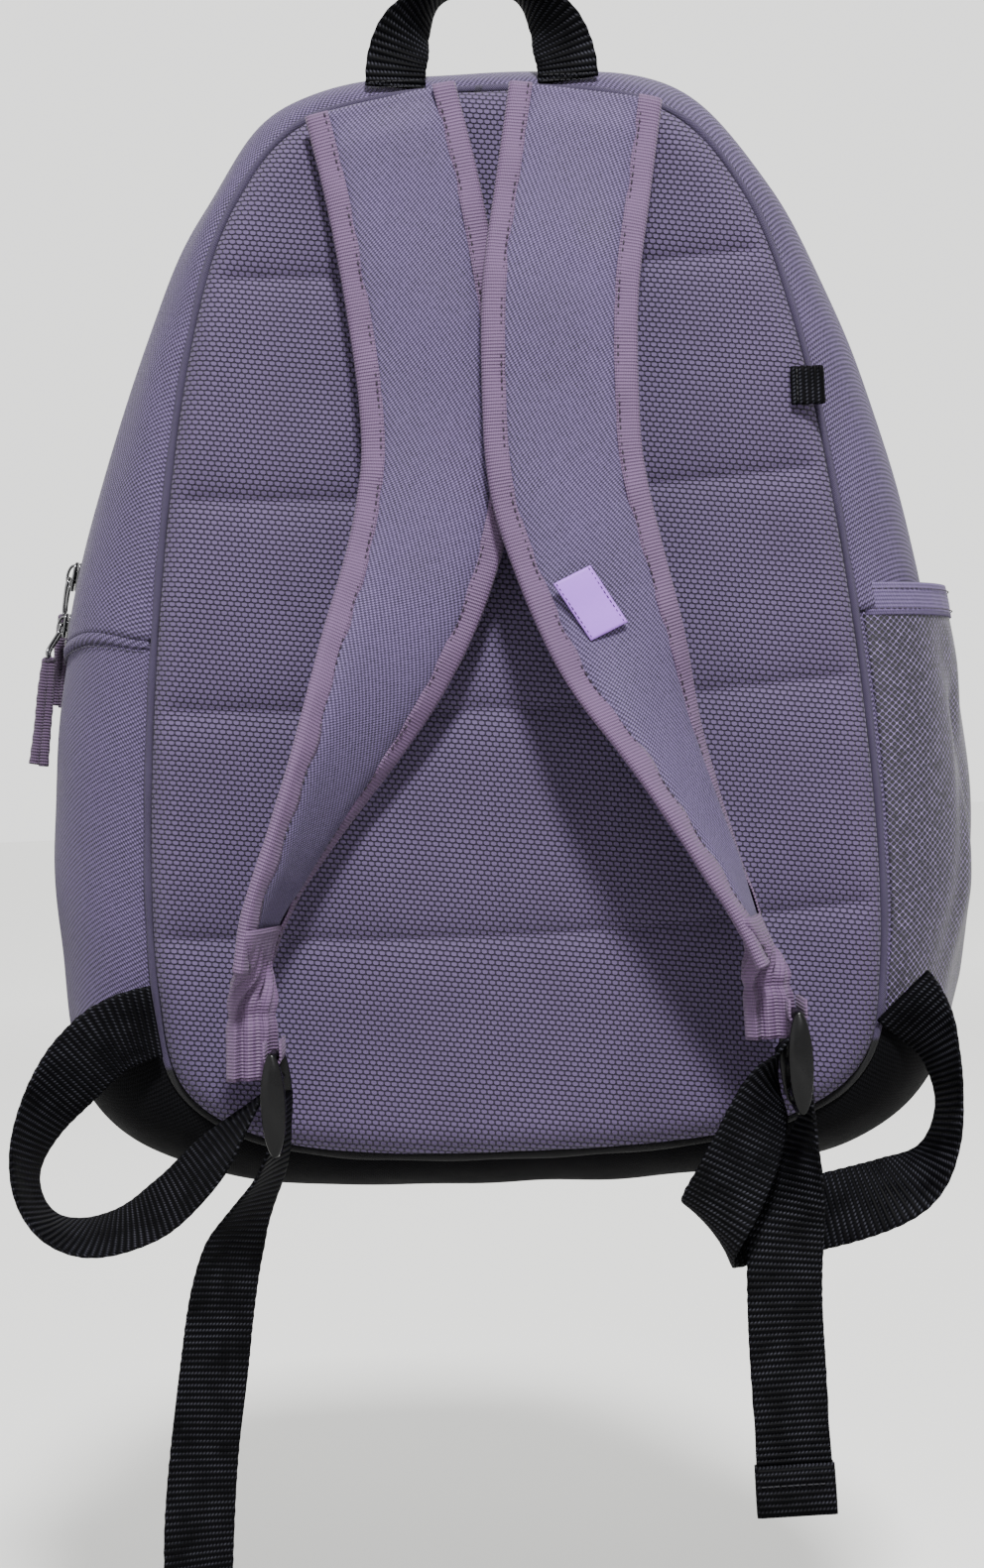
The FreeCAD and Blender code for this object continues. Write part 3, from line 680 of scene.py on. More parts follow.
for i, line in enumerate(QUILT):
    hw = half_width(line) - 3.0
    x = np.linspace(-hw, hw, 160)
    row = pad_surface(x, quilt_depth(line, x))
    sew(face, "quilt_stitch_%d" % (i + 1), row, (0, -1, 0), M_THREAD, 3.1, 2.0, 0.30, 0.05)

def seam_ring(count, grow):
    """Points all round the seam outline, moved outward in its plane."""
    ring = resample(np.concatenate([SEAM_CURVE, SEAM_CURVE[:1]]), count)
    return ring + unit(ring - np.array([0, AXIS_D])) * grow


# Rolled seams round the back and front panels: soft and slightly uneven
for name, y in (("rear", -1.6), ("front", DEPTH + 1.6)):
    ring = seam_ring(420, 1.0)[:-1]
    s = np.linspace(0, 2 * np.pi, len(ring), endpoint=False)
    wob = 0.18 * np.sin(s * 23 + 1) + 0.12 * np.sin(s * 57)
    path = at_depth(ring[:, 0], y + wob, ring[:, 1])
    pipe = tube(name + "_rolled_seam", path, 1.75 + 0.2 * np.sin(s * 31), M_PIPE, 12, closed=True)
    place(pipe, "pack", [name + "_seam_piping"])


# ------------------------------------------------------------ smooth routes of the straps
def spline(points, per=14):
    """Smooth open curve through rows of numbers."""
    p = np.asarray(points, float)
    p = np.concatenate([[2 * p[0] - p[1]], p, [2 * p[-1] - p[-2]]])
    out = []
    for i in range(1, len(p) - 2):
        for t in np.linspace(0, 1, per, endpoint=False):
            a, b, c, d = p[i - 1:i + 3]
            out.append(0.5 * (2 * b + (c - a) * t + (2 * a - 5 * b + 4 * c - d) * t * t
                              + (3 * b - a - 3 * c + d) * t ** 3))
    out.append(p[-2])
    return np.array(out)


# Stops of the straps: x, y, depth and turn in degrees
LEFT_STOPS = [(-42, -18.5, 6, 0), (-34, -21, 46, 0), (-28, -23, 88, 0), (-24, -25, 130, 0),
              (-25, -27.5, 164, 0), (-34, -32, 200, 6), (-48, -37, 234, 20), (-66, -41, 270, 42),
              (-84, -43, 303, 60), (-99, -44, 332, 72), (-107, -44, 358, 80)]
RIGHT_STOPS = [(42, -18.5, 6, 0), (35, -26, 46, 0), (28, -34.5, 88, 0), (26, -37, 130, 0),
               (27, -38.5, 164, 0), (34, -40.5, 196, 4), (45, -43, 232, 16), (58, -44, 266, 42),
               (69, -45, 292, 56), (81, -45, 320, 67), (92, -44, 345, 76), (98, -44, 362, 80)]


STRAP_HALF = 31.0     # half width of a strap at its top
STRAP_TAPER = 8.0     # taken off it towards the buckle


class Strap:
    """Frame along a strap: its centre line, width direction, outward direction and half width."""

    def __init__(self, stops):
        line = spline(stops, 16)
        self.mid = at_depth(*line[:, :3].T)
        turn = np.radians(line[:, 3])
        wide = np.column_stack([np.cos(turn), np.sin(turn), np.zeros(len(turn))])
        along = heading(self.mid)
        self.side = square_to(wide, along)
        self.out = np.cross(along, self.side)
        self.length = running(self.mid)
        self.half = STRAP_HALF - STRAP_TAPER * np.clip((self.length / self.length[-1] - 0.45) / 0.5, 0, 1)

    def at(self, across, lift):
        """Points at across, from -1 to 1 over the half width, and lift millimetres outward."""
        across = np.asarray(across, float)
        lift = np.broadcast_to(lift, (len(self.mid), len(across)))
        return (self.mid[:, None] + self.side[:, None] * (across[None] * self.half[:, None])[..., None]
                + self.out[:, None] * lift[..., None])

    def uv(self, across):
        across = np.asarray(across, float)
        u = across[None] * self.half[:, None]
        return np.stack([u, np.broadcast_to(self.length[:, None], u.shape)], -1)


def loft(across, edge, full):
    """Padding height over the width: flat at the stitched edges, crowned between them."""
    return edge + (full - edge) * quarter((0.74 - np.abs(across)) / 0.36)


def make_strap(name, stops):
    strap = Strap(stops)
    body = "strap_" + name
    across = np.linspace(-0.94, 0.94, 41)
    s = strap.length[:, None]
    pucker = 0.30 * np.sin(s / 7.5 + 2 * across[None]) + 0.22 * np.sin(s / 4.6 - 3 * across[None] + 1)
    pucker = pucker * (np.abs(across)[None] ** 3)
    taper = np.clip(np.minimum(s / 16.0, 1), 0.25, 1) * np.clip((s[-1] - s) / 40.0, 0.35, 1)
    dent = 0.55 * np.sin(s / 27.0 + across[None]) + 0.4 * np.sin(s / 15.0 - 2.2 * across[None] + 2)
    top = (loft(across, 1.5, 4.6)[None] + dent * np.clip(1 - across[None] ** 2, 0, 1)) * taper + pucker
    face = cloth("strap_%s_outer" % name, strap.at(across, top), M_STRAP, 0.9, -1, uv=strap.uv(across))
    place(face, body, ["strap_%s_face" % name])
    low = -loft(across, 1.5, 4.4)[None] * taper
    lining = cloth("strap_%s_underside" % name, strap.at(across, low), M_PAD, 0.9, 1, uv=strap.uv(across))
    place(lining, body, ["strap_%s_lining" % name])
    inner = np.linspace(-0.88, 0.88, 21)
    core_top = loft(inner, 0.4, 3.4)[None] * taper
    ring = np.concatenate([strap.at(inner, core_top), strap.at(inner[::-1], -core_top)], 1)
    points = ring.reshape(-1, 3)
    foam = add_mesh("strap_%s_foam_core" % name, points, capped(*ring.shape[:2]), points[:, [0, 2]], M_FOAM)
    place(foam, body, ["strap_%s_foam" % name])
    # Binding tape folded over each edge
    for sign, tag in ((-1, "a"), (1, "b")):
        fold = []
        for k, rise in ((9.2, 2.05), (7.0, 2.3), (4.5, 2.25), (2.0, 1.95), (0.6, 1.3), (-0.1, 0.0),
                        (0.6, -1.3), (2.0, -1.95), (4.5, -2.2), (9.2, -2.05)):
            wave = 0.42 * np.sin(strap.length / 3.9 + sign) * np.clip(k / 6, 0, 1) * np.sign(rise)
            wave = wave + 0.25 * np.sin(strap.length / 9.5 + 2 * sign) * np.clip(k / 6, 0, 1)
            inset = (strap.half - k) * sign
            edge_lift = rise + wave + np.clip(k - 5.0, 0, 9) * 0.12 * np.sign(rise)
            fold.append(strap.mid + strap.side * inset[:, None] + strap.out * edge_lift[:, None])
        fold = np.stack(fold, 1)
        if sign > 0:
            fold = fold[:, ::-1]
        strip = cloth("strap_%s_binding_%s" % (name, tag), fold, M_TAPE, 0.5, -1)
        place(strip, body, ["strap_%s_binding" % name])
        path = strap.mid + strap.side * ((strap.half - 7.6) * sign)[:, None] + strap.out * 2.75
        sew(strip, "strap_%s_binding_stitch_%s" % (name, tag), path, strap.out, M_THREAD_PALE, 3.3, 2.1, 0.42)
    return strap


left = make_strap("left", LEFT_STOPS)
right = make_strap("right", RIGHT_STOPS)


def strap_root(tag, strap):
    """Doubled cloth at a strap's top, sewn into the top seam and bent from there up to the strap."""
    curve = SEAM_CURVE[:int(np.argmax(SEAM_CURVE[:, 0])) + 1]
    tops = strap.at(np.linspace(-0.9, 0.9, 33), 0.4)
    x = tops[0][:, 0]
    seam = at_depth(x, -1.2, 1.0 + np.interp(np.abs(x), curve[:, 0], curve[:, 1]))
    k = np.linspace(0, 1, 14)[:, None, None]
    flap = seam + (tops[0] - seam) * k + np.array([0, -0.5, 1.0]) * np.sin(np.pi * k)
    root = cloth("strap_%s_root" % tag, np.concatenate([flap, tops[2:6:2]]), M_STRAP, 1.8, -1)
    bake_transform(root)


strap_root("left", left)
strap_root("right", right)


# ------------------------------------------------------------ webbing
def nurbs(name, stops):
    """Smooth line of a webbing route, in millimetres, read from a NURBS curve through its stops."""
    data = bpy.data.curves.new(name, "CURVE")
    data.dimensions = "3D"
    data.resolution_u = 14
    line = data.splines.new("NURBS")
    line.points.add(len(stops) - 1)
    for p, s in zip(line.points, stops):
        p.co = (s[0] * MM, s[1] * MM, (SEAM_Z - s[2]) * MM, 1)
    line.order_u = 3
    line.use_endpoint_u = True
    obj = bpy.data.objects.new(name, data)
    bpy.context.scene.collection.objects.link(obj)
    bpy.context.view_layer.update()
    mesh = bpy.data.meshes.new_from_object(obj.evaluated_get(bpy.context.evaluated_depsgraph_get()))
    path = np.array([v.co[:] for v in mesh.vertices]) / MM
    bpy.data.objects.remove(obj)
    return path


def frames(path, stops):
    """Side and face directions along a path, turned from stop to stop."""
    knots = np.array([(s[0], s[1], SEAM_Z - s[2]) for s in stops])
    wide = unit(np.array([s[3:6] for s in stops], float))
    leg = running(knots)
    run = running(path)
    t = run / run[-1] * leg[-1]
    w = np.stack([np.interp(t, leg, wide[:, k]) for k in range(3)], -1)
    for _ in range(6):
        w[1:-1] = (w[:-2] + w[1:-1] * 2 + w[2:]) / 4
    along = heading(path)
    side = square_to(w, along)
    return side, np.cross(along, side), run


def ribbon(name, path, side, out, run, mat, width=WEB_WIDTH, thick=1.6, lift=0.0, curl=0.0):
    """Flat webbing along a path, with rounded selvedges and a slight cupping across it."""
    a = np.array([-1, -0.985, -0.9, -0.6, -0.3, 0, 0.3, 0.6, 0.9, 0.985, 1.0])
    edge = np.array([0.0, 0.75, 1, 0.96, 0.96, 0.96, 0.96, 0.96, 1, 0.75, 0.0])
    top = np.column_stack([a * width / 2, edge * thick / 2])
    low = np.column_stack([a[::-1] * width / 2, -edge[::-1] * thick / 2])[1:-1]
    shape = np.concatenate([top, low])
    cup = curl * (shape[:, 0] / (width / 2)) ** 2
    ripple_ = 1 + 0.010 * np.sin(run * 1.26) + 0.006 * np.sin(run / 9.0)
    sway = 0.35 * np.sin(run / 13.0)[:, None] * (shape[:, 0] / width * 2)[None] ** 3
    ring = (path[:, None] + side[:, None] * (shape[None, :, :1] * ripple_[:, None, None])
            + out[:, None] * ((shape[:, 1] + cup + lift)[None] + sway)[..., None])
    return rings_mesh(name, ring, shape[:, 0], run, mat)


def level_ribbon(name, path, wide, mat, width, thick):
    """Webbing whose width points one way all along its path."""
    side = np.broadcast_to(wide, path.shape)
    return ribbon(name, path, side, np.cross(heading(path), side), running(path), mat, width, thick)


# Stops of the webbing: x, y, depth and the direction of its width
LOOP_LEFT = [(-150.4, -7.5, 379, 0.1, 0, -1), (-166, -12, 381, 0.3, 0.1, -0.95),
             (-182, -20, 395, 0.65, 0.3, -0.7), (-197, -28, 414, 0.5, 0.8, -0.35),
             (-205, -33, 436, 0.2, 0.97, -0.1), (-197, -38, 456, 0.05, 0.99, 0.1),
             (-174, -43, 463, 0, 0.9, 0.43), (-148, -46, 453, -0.3, 0.75, 0.55),
             (-126, -47, 432, -0.35, 0.8, 0.42), (-103.4, -44, 406.5, 0, 1, 0)]
TAIL_LEFT = [(-96.5, -43, 409, 0.1, 0.99, 0), (-98.5, -41, 424, 0.15, 0.98, 0),
             (-103, -38, 439, 0.3, 0.95, 0), (-112, -33.5, 453, 0.55, 0.83, 0),
             (-120, -30, 468, 0.78, 0.62, 0), (-126, -28, 490, 0.85, 0.52, 0),
             (-130.5, -28, 520, 0.88, 0.47, 0), (-137, -29, 560, 0.9, 0.43, 0),
             (-140.5, -31, 605, 0.86, 0.5, 0),
             (-138, -31, 645, 0.93, 0.36, 0), (-141, -32, 684, 0.97, 0.2, 0)]
LOOP_RIGHT = [(103.2, -44, 395, 0, 1, 0), (100, -46.5, 404, 0.2, 0.97, 0), (94, -54, 417, 0.7, 0.65, -0.1),
              (86, -60, 435, 0.9, 0.25, -0.3), (77, -60.5, 452, 0.9, 0, -0.42),
              (71.5, -58, 462, 0.79, -0.34, -0.5), (71.5, -49, 468, 0.53, -0.48, -0.7),
              (77, -40, 470.5, 0.26, -0.34, -0.9), (88.3, -37, 468, 0.15, 0, -0.98),
              (108, -35, 466, 0, -0.1, -1), (132, -32, 462, 0, -0.3, -0.95),
              (153, -28, 456, 0.1, -0.65, -0.75), (168, -24, 443, 0.2, -0.95, -0.2),
              (173, -21, 424, 0.2, -0.97, 0), (171, -17, 405, 0.35, -0.9, 0.2),
              (166, -12, 391, 0.5, -0.6, 0.6), (157.2, -7.5, 381, 0.5, -0.05, 0.85)]
TAIL_RIGHT = [(113, -44, 397.5, 0, -1, 0), (114, -44, 420, 0, -1, 0), (110, -45, 435, 0.3, -0.95, 0),
              (105, -47, 450, 0.75, -0.65, 0), (101, -49, 468, 1, -0.15, 0), (99, -50, 496, 1, 0, 0),
              (100, -49, 538, 1, 0, 0), (101, -48, 582, 1, 0, 0)]

for tag, stops, kind in (("left", LOOP_LEFT, "loop"), ("left", TAIL_LEFT, "tail"),
                         ("right", LOOP_RIGHT, "loop"), ("right", TAIL_RIGHT, "tail")):
    path = nurbs("route_" + kind + "_" + tag, stops)
    side, out, run = frames(path, stops)
    node = "webbing_%s_%s" % (kind, tag)
    body = "strap_" + tag if kind == "loop" else "buckle_" + tag
    band = ribbon("adjuster_%s_%s" % (kind, tag), path, side, out, run, M_WEB, curl=0.5)
    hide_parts(node)
    if kind == "loop":
        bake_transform(band)
    else:
        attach(band, body)
        last = run > run[-1] - 25
        facing = math.copysign(1.0, out[-1][1])
        end = path[last], side[last], out[last], run[last]
        for name, width, thick, lift in (("tail_hem_", 31.6, 2.2, -1.7), ("tail_hem_back_", 31.2, 1.6, 1.6)):
            ribbon(name + tag, *end, M_WEB, width, thick, lift * facing).parent = band
        at = end[0][1] + end[1][1] * np.linspace(-14, 14, 30)[:, None] - end[2][1] * 2.9 * facing
        at[:, 2] -= 3.0
        sew(band, "tail_hem_stitch_" + tag, at, -end[2][1] * facing, M_THREAD_BLACK, 2.6, 1.9, 0.34)


# ------------------------------------------------------------ haul loop
half = [(-36, -1.5, -3.2, 1, 0, 0), (-34.5, -2, -15, 1, 0.05, 0), (-28, -1, -30, 0.75, 0.65, 0),
        (-13, 0, -42.8, 0, 1, 0)]
stops = half + [(-x, y, d, -wx, wy, 0) for x, y, d, wx, wy, _ in reversed(half)]
path = spline([s[:3] for s in stops], 14)
path[:, 2] = SEAM_Z - path[:, 2]
side, out, run = frames(path, stops)
loop = ribbon("haul_loop_webbing", path, side, out, run, M_WEB, 25.0, 1.6, curl=0.3)
place(loop, "pack", ["haul_loop"])
for tag, x in (("left", -36), ("right", 36)):
    for k in (3.0, 5.4):
        row = at_depth(np.linspace(x - 11, x + 11, 24), -2.9, -k)
        sew(loop, "haul_loop_stitch_%s_%d" % (tag, k), row, (0, -1, 0), M_THREAD_BLACK, 2.4, 1.8, 0.28)


# ------------------------------------------------------------ main zip
def long_row(y, grow, count=260):
    return surface("top", [y], count, grow=grow)[0]


for name, y0, y1 in (("rear", 47.2, 54.7), ("front", 59.3, 66.8)):
    strip = surface("top", np.linspace(y0, y1, 5), 220, grow=-0.3)
    strip[:, :, 1] += 0.25 * np.sin(np.arange(220) / 5.0)
    bag_sheet("zip_tape_" + name, strip, M_ZIP, 0.9, OUTWARD, "main_zip_tape_" + name)


def teeth(name, row, outward, wide=2.45, pitch=1.35, rise=0.75, deep=0.5):
    """Coil of a zip: slanted loops of monofilament meeting along the middle of the tape."""
    step = running(row)
    spots = np.arange(pitch, step[-1] - pitch, pitch / 2)
    mid = np.stack([np.interp(spots, step, row[:, a]) for a in range(3)], -1)
    out = np.stack([np.interp(spots, step, outward[:, a]) for a in range(3)], -1)
    along = heading(mid)
    side = np.cross(along, out)
    flip = np.where(np.arange(len(spots)) % 2, 1.0, -1.0)[:, None]
    verts = []
    for across, height, slant in ((wide, -deep, -0.25), (wide, rise * 0.5, -0.15), (wide * 0.55, rise, 0.05),
                                  (-0.35, rise * 0.8, 0.2), (-0.35, -deep, 0.25)):
        for k in (-0.42, 0.42):
            fat = pitch * 0.5 * k
            verts.append(mid + side * across * flip + out * height + along * (slant + fat))
    verts = np.stack(verts, 1)
    one = [[0, 2, 3, 1], [2, 4, 5, 3], [4, 6, 7, 5], [6, 8, 9, 7], [8, 0, 1, 9],
           [0, 8, 6, 4, 2], [1, 3, 5, 7, 9]]
    faces = [[v + 10 * i for v in f] for i in range(len(spots)) for f in one]
    uv = np.stack([verts[..., 1], verts[..., 2]], -1)
    return add_mesh(name, verts.reshape(-1, 3), faces, uv.reshape(-1, 2), M_COIL)


row = long_row(MID_Y, 0.0, 420)
coil = teeth("zip_coil_teeth", row, away_from_middle(row))
core = tube("zip_coil_core", row, 2.0, M_COIL, 8, flat=0.25, ref=(0, 1, 0))
place(coil, "pack", ["main_zip_coil"])
place(core, None, parent=coil)

for y in (45.4, 43.2, 68.6, 70.8):
    row = long_row(y, 0.35)
    place(stitches("zip_stitch_%d" % (y * 10), row, away_from_middle(row), M_THREAD, 3.2, 2.2, 0.28), "pack")

# Welt across the left side, where the side panel meets the gusset
ys = arc_rows(0.05, DEPTH - 0.05, 60)
fold = []
for y, seam in zip(ys, side_seam(ys)):
    line = cut_outline(outline_at(y), 205.0, 245.0, "left", 41)
    depth = seam + np.array([-1.0, -0.3, 0.6, 1.6, 2.6, 3.4])
    lift = np.array([0.1, 1.2, 1.6, 1.6, 1.2, 0.0])
    fold.append(at_depth(np.interp(depth, line[:, 1], line[:, 0]) - lift, y, depth))
fold = np.array(fold)
welt = cloth("side_welt_left", fold, M_BODY, 0.7, 1)
place(welt, "pack", ["side_seam_left"])
row = fold[1:-1, 5] + np.array([-1.3, 0, -1.6])
sew(welt, "side_welt_stitch", row, (-1, 0, 0.1), M_THREAD, 3.1, 2.1, 0.28)

# Centre and radius of the arc that the main zip's sliders turn on
HUB = np.array([317.64, MID_Y, -357.317])
ARC_R = 515.496


def on_arc(depth, out):
    rise = math.asin((SEAM_Z - depth - HUB[2]) / ARC_R)
    return HUB + (ARC_R + out) * np.array([-math.cos(rise), 0, math.sin(rise)])


def plate(name, outline, low, high, origin, axes, mat, bevel=0.35):
    """Flat part cut to an outline, its edges eased, standing from low to high along the third axis."""
    outline = np.asarray(outline, float)
    mid = outline.mean(0)
    inner = outline - unit(outline - mid) * bevel
    axes = np.asarray(axes, float)
    rings = []
    for shape, h in ((inner, low), (outline, low + bevel), (outline, high - bevel), (inner, high)):
        rings.append(origin + shape[:, :1] * axes[0] + shape[:, 1:] * axes[1] + h * axes[2])
    return add_mesh(name, np.concatenate(rings), capped(4, len(outline)), np.concatenate([outline] * 4), mat)


def superoval(a, b, power=2.6, count=40, pinch=0.0):
    """Rounded outline of half sizes a and b, narrower at its far end by the pinch."""
    t = np.linspace(0, 2 * np.pi, count, endpoint=False)
    x = a * np.sign(np.cos(t)) * np.abs(np.cos(t)) ** (2 / power)
    y = b * np.sign(np.sin(t)) * np.abs(np.sin(t)) ** (2 / power)
    return np.column_stack([x, y * (1 - pinch * x / a)])


def join(name, parts):
    """One object from several pieces that are fixed to each other."""
    bpy.ops.object.select_all(action="DESELECT")
    for p in parts:
        p.select_set(True)
    bpy.context.view_layer.objects.active = parts[0]
    bpy.ops.object.join()
    parts[0].name = name
    return parts[0]


def slider_body(name, mid, axes, wing, core, levels, bridge, radius, flat):
    """Two wings, the core between them, and the bridge over them that holds the pull."""
    parts = [plate("wing", shape, low, high, mid, axes, M_METAL, bevel)
             for shape, (low, high), bevel in zip((wing, wing, core), levels, (0.35, 0.45, 0.35))]
    reach, foot, rise = bridge
    arch = np.array([mid + axes[0] * (-reach * math.cos(k)) + axes[2] * (foot + rise * math.sin(k) ** 0.7)
                     for k in np.linspace(0, np.pi, 20)])
    parts.append(tube("bridge", arch, radius, M_METAL, 12, flat=flat, ref=axes[1]))
    return join(name, parts)


def wire_ring(name, stops, radius, ref):
    """Closed ring of bent wire through its stops."""
    path = spline(np.array(stops + stops[:3]), 8)[8:-9]
    return tube(name, path, radius, M_METAL, 10, closed=True, ref=ref)


def zip_slider(name, d_top, d_low):
    mid = on_arc((d_top + d_low) / 2, 0)
    down = on_arc(d_low, 0) - on_arc(d_top, 0)
    half = np.linalg.norm(down) / 2
    down /= 2 * half
    out = mid - HUB
    out /= np.linalg.norm(out)
    axes = (down, np.array([0, 1.0, 0]), out)
    levels = ((1.3, 2.3), (3.1, 4.3), (2.0, 3.4))
    wing, core = superoval(half, 4.8, 3, pinch=0.18), superoval(half * 0.45, 1.7)
    return slider_body(name, mid, axes, wing, core, levels, (half - 1.8, 3.9, 3.1), 0.62, 2.5)


for tag, d_top, d_low in (("upper", 183.5, 196.5), ("lower", 205.5, 216.5)):
    piece = zip_slider("slider_" + tag, d_top, d_low)
    place(piece, "main_slider_" + tag, ["main_slider_" + tag])


def zip_pull(tag, depth, lean, drop, foot_out):
    eye = on_arc(depth, 5.4)
    knot = eye + np.array([-5.0, lean, -14.0])
    wire = [eye + (0, -3.9, 0.1), eye + (0, 0, 0.2), eye + (0, 3.9, 0.1), eye + (-1.3, 4.2, -3.5),
            knot + (0.2, 3.4, 3.0), knot + (0, 2.6, 0), knot + (0, 0, -0.6), knot + (0, -2.6, 0),
            knot + (0.2, -3.4, 3.0), eye + (-1.3, -4.2, -3.5)]
    link = wire_ring("pull_link_" + tag, wire, 0.72, (1, 0.05, 0.02))
    place(link, "main_pull_" + tag, ["main_pull_link_" + tag])
    foot = knot + np.array([-foot_out, lean * 0.25, -drop])
    legs = []
    for k, sign in enumerate((-1, 1)):
        t = np.linspace(0, 1, 40)[:, None]
        line = knot + (foot - knot) * t
        apart = (0.9 + 1.1 * t + 0.3 * np.sin(np.pi * np.clip(t * 1.6, 0, 1))) * sign
        line = line + apart * np.array([1.0, 0.25, 0]) + np.array([0, -1.0, 0]) * 0.5 * np.sin(7 * t + k)
        line[:, 2] -= 1.2 * k * t[:, 0]
        fat = 1.9 + 0.3 * t[:, 0] + 0.12 * np.sin(np.arange(40) * 1.35 + k)
        fat[0] = 1.1
        legs.append(tube("leg", line, fat, M_CORD, 12, flat=0.8, ref=(0, 1, 0)))
    t = np.linspace(0, 2 * np.pi, 28)
    wrap = knot + np.column_stack([1.9 * np.cos(t), 1.6 * np.sin(t), -1.2 + 0 * t])
    legs.append(tube("throat", wrap[:-1], 1.2, M_CORD, 8, closed=True, ref=(0, 0, 1)))
    place(join("pull_cord_" + tag, legs), "main_pull_" + tag, ["main_pull_tape_" + tag])


zip_pull("upper", 191.5, 12.5, 40, 5.0)
zip_pull("lower", 211.2, -8.0, 46, 6.0)
box_low, box_high = cad_box("main_zip_end_stop")
mid = (box_low + box_high) / 2
axes = ((0, 0, 1), (0, 1, 0), (-1, 0, 0))
stop = plate("zip_end_stop", superoval(1.5, 3.4, 4), -0.6, 0.7, mid, axes, M_METAL)
place(stop, "pack", ["main_zip_end_stop"])


# ------------------------------------------------------------ front panel and pocket
def front_grid(half_at, d0, d1, rise, rows=120, cols=90, power=0.35):
    t = np.linspace(0, 1, rows)
    d = d0 + 0.6 + (d1 - d0 - 1.2) * t
    f = np.linspace(-1, 1, cols)
    x = half_at(d)[:, None] * f[None]
    dd = np.repeat(d[:, None], cols, 1)
    return np.stack([x, rise(x, dd), SEAM_Z - dd], -1), np.stack([x, -dd], -1)


panel, panel_uv = front_grid(lambda d: half_width(d) - 0.8, 1.0, 439.0,
                             lambda x, d: DEPTH + 1.6 + 0.4 * np.sin(x / 23.0) * np.sin(d / 31.0))
bag_sheet("front_panel_cloth", panel, M_BODY, 1.2, -1, "front_panel", uv=panel_uv)

POCKET_TOP, POCKET_LOW, POCKET_HALF, CORNER = 205.0, 415.0, 112.0, 28.0
FACE_Y = DEPTH + 26.0
ZIP_D = 232.0


def pocket_half(d, inset=0.0):
    e = np.minimum(d - POCKET_TOP, POCKET_LOW - d) - inset
    r = CORNER - inset
    cut = r - np.sqrt(np.clip(r ** 2 - np.clip(r - e, 0, r) ** 2, 0, None))
    return POCKET_HALF - inset - cut


def pocket_rise(x, d):
    edge = np.minimum(pocket_half(d) - np.abs(x), np.minimum(d - POCKET_TOP, POCKET_LOW - d))
    soft = quarter(edge / 9.0)
    valley = 2.4 * np.exp(-((d - ZIP_D) / 5.5) ** 2) * np.clip((104 - np.abs(x)) / 8, 0, 1)
    drape = 0.5 * np.sin(x / 21.0 + d / 37.0) + 0.35 * np.sin(x / 11.0 - d / 15.0)
    return FACE_Y - 4.2 + 4.0 * soft - valley + drape * soft * 0.7


puff, puff_uv = front_grid(pocket_half, POCKET_TOP, POCKET_LOW, pocket_rise, 150, 120)
bag_sheet("pocket_face_cloth", puff, M_BODY, 1.2, -1, "front_pocket_face", uv=puff_uv)
d = POCKET_TOP + (POCKET_LOW - POCKET_TOP) * (1 - np.cos(np.linspace(0.02, np.pi - 0.02, 90))) / 2
rim = np.column_stack([pocket_half(d), d])
rim = np.concatenate([rim, rim[::-1] * (-1, 1)])
rim = resample(np.concatenate([rim, rim[:1]]), 320)
wall = []
for y, swell in zip(np.linspace(DEPTH + 1.5, FACE_Y - 3.4, 9), np.sin(np.linspace(0, np.pi, 9)) * 0.9):
    grown = rim * (1 + swell / 150.0) - np.array([0, 310.0]) * swell / 150.0
    wall.append(at_depth(grown[:, 0], y, grown[:, 1]))
bag_sheet("pocket_gusset_cloth", np.array(wall), M_BODY, 1.0, 1, "front_pocket_gusset")
pipe_path = at_depth(rim[:-1, 0], FACE_Y - 3.6, rim[:-1, 1])
place(tube("pocket_piping", pipe_path, 1.5, M_PIPE, 10, closed=True), "pack")
x = np.linspace(-105, 105, 120)
tape = np.array([at_depth(x, pocket_rise(x, ZIP_D + k) + 0.5, ZIP_D + k) for k in np.linspace(-6.5, 6.5, 7)])
bag_sheet("pocket_zip_tape", tape, M_ZIP, 0.6, -1, "front_pocket_zip_tape")
row = at_depth(x, pocket_rise(x, ZIP_D + 0 * x) + 1.1, ZIP_D)
coil = teeth("pocket_coil_teeth", row, np.broadcast_to([0, 1.0, 0], row.shape), 2.3)
place(coil, "pack", ["front_pocket_zip_coil"])
for k in (-9.5, 9.5):
    row = at_depth(x, pocket_rise(x, ZIP_D + k + 0 * x) + 0.1, ZIP_D + k)
    seam = stitches("pocket_zip_stitch_%d" % k, row, (0, 1, 0), M_THREAD, 3.1, 2.1, 0.28)
    place(seam, "pack")
low, high = cad_box("front_pocket_slider")
mid = np.array([(low[0] + high[0]) / 2, low[1], SEAM_Z - ZIP_D])
axes = (np.array([1.0, 0, 0]), np.array([0, 0, 1.0]), np.array([0, 1.0, 0]))
runner = slider_body("pocket_slider_body", mid, axes, superoval(6.0, 4.6, 3, pinch=0.15), superoval(2.6, 1.7),
                     ((0.0, 1.0), (1.9, 3.0), (0.8, 2.1)), (4.0, 2.8, 2.9), 0.6, 2.4)
place(runner, "pocket_slider", ["front_pocket_slider"])
eye = np.array([-92.0, 144.6, SEAM_Z - ZIP_D])
wire = [(0, 0, -2.9), (0, 0, 0), (0, 0, 2.9), (3, 0.1, 3.3), (7, 0, 2.6), (9, 0, 0), (7, 0, -2.6),
        (3, 0.1, -3.3)]
link = wire_ring("pocket_pull_ring", [p + eye for p in wire], 0.55, (0.02, 1, 0.05))
tab = superoval(10.5, 3.5, 3.4, pinch=-0.06)
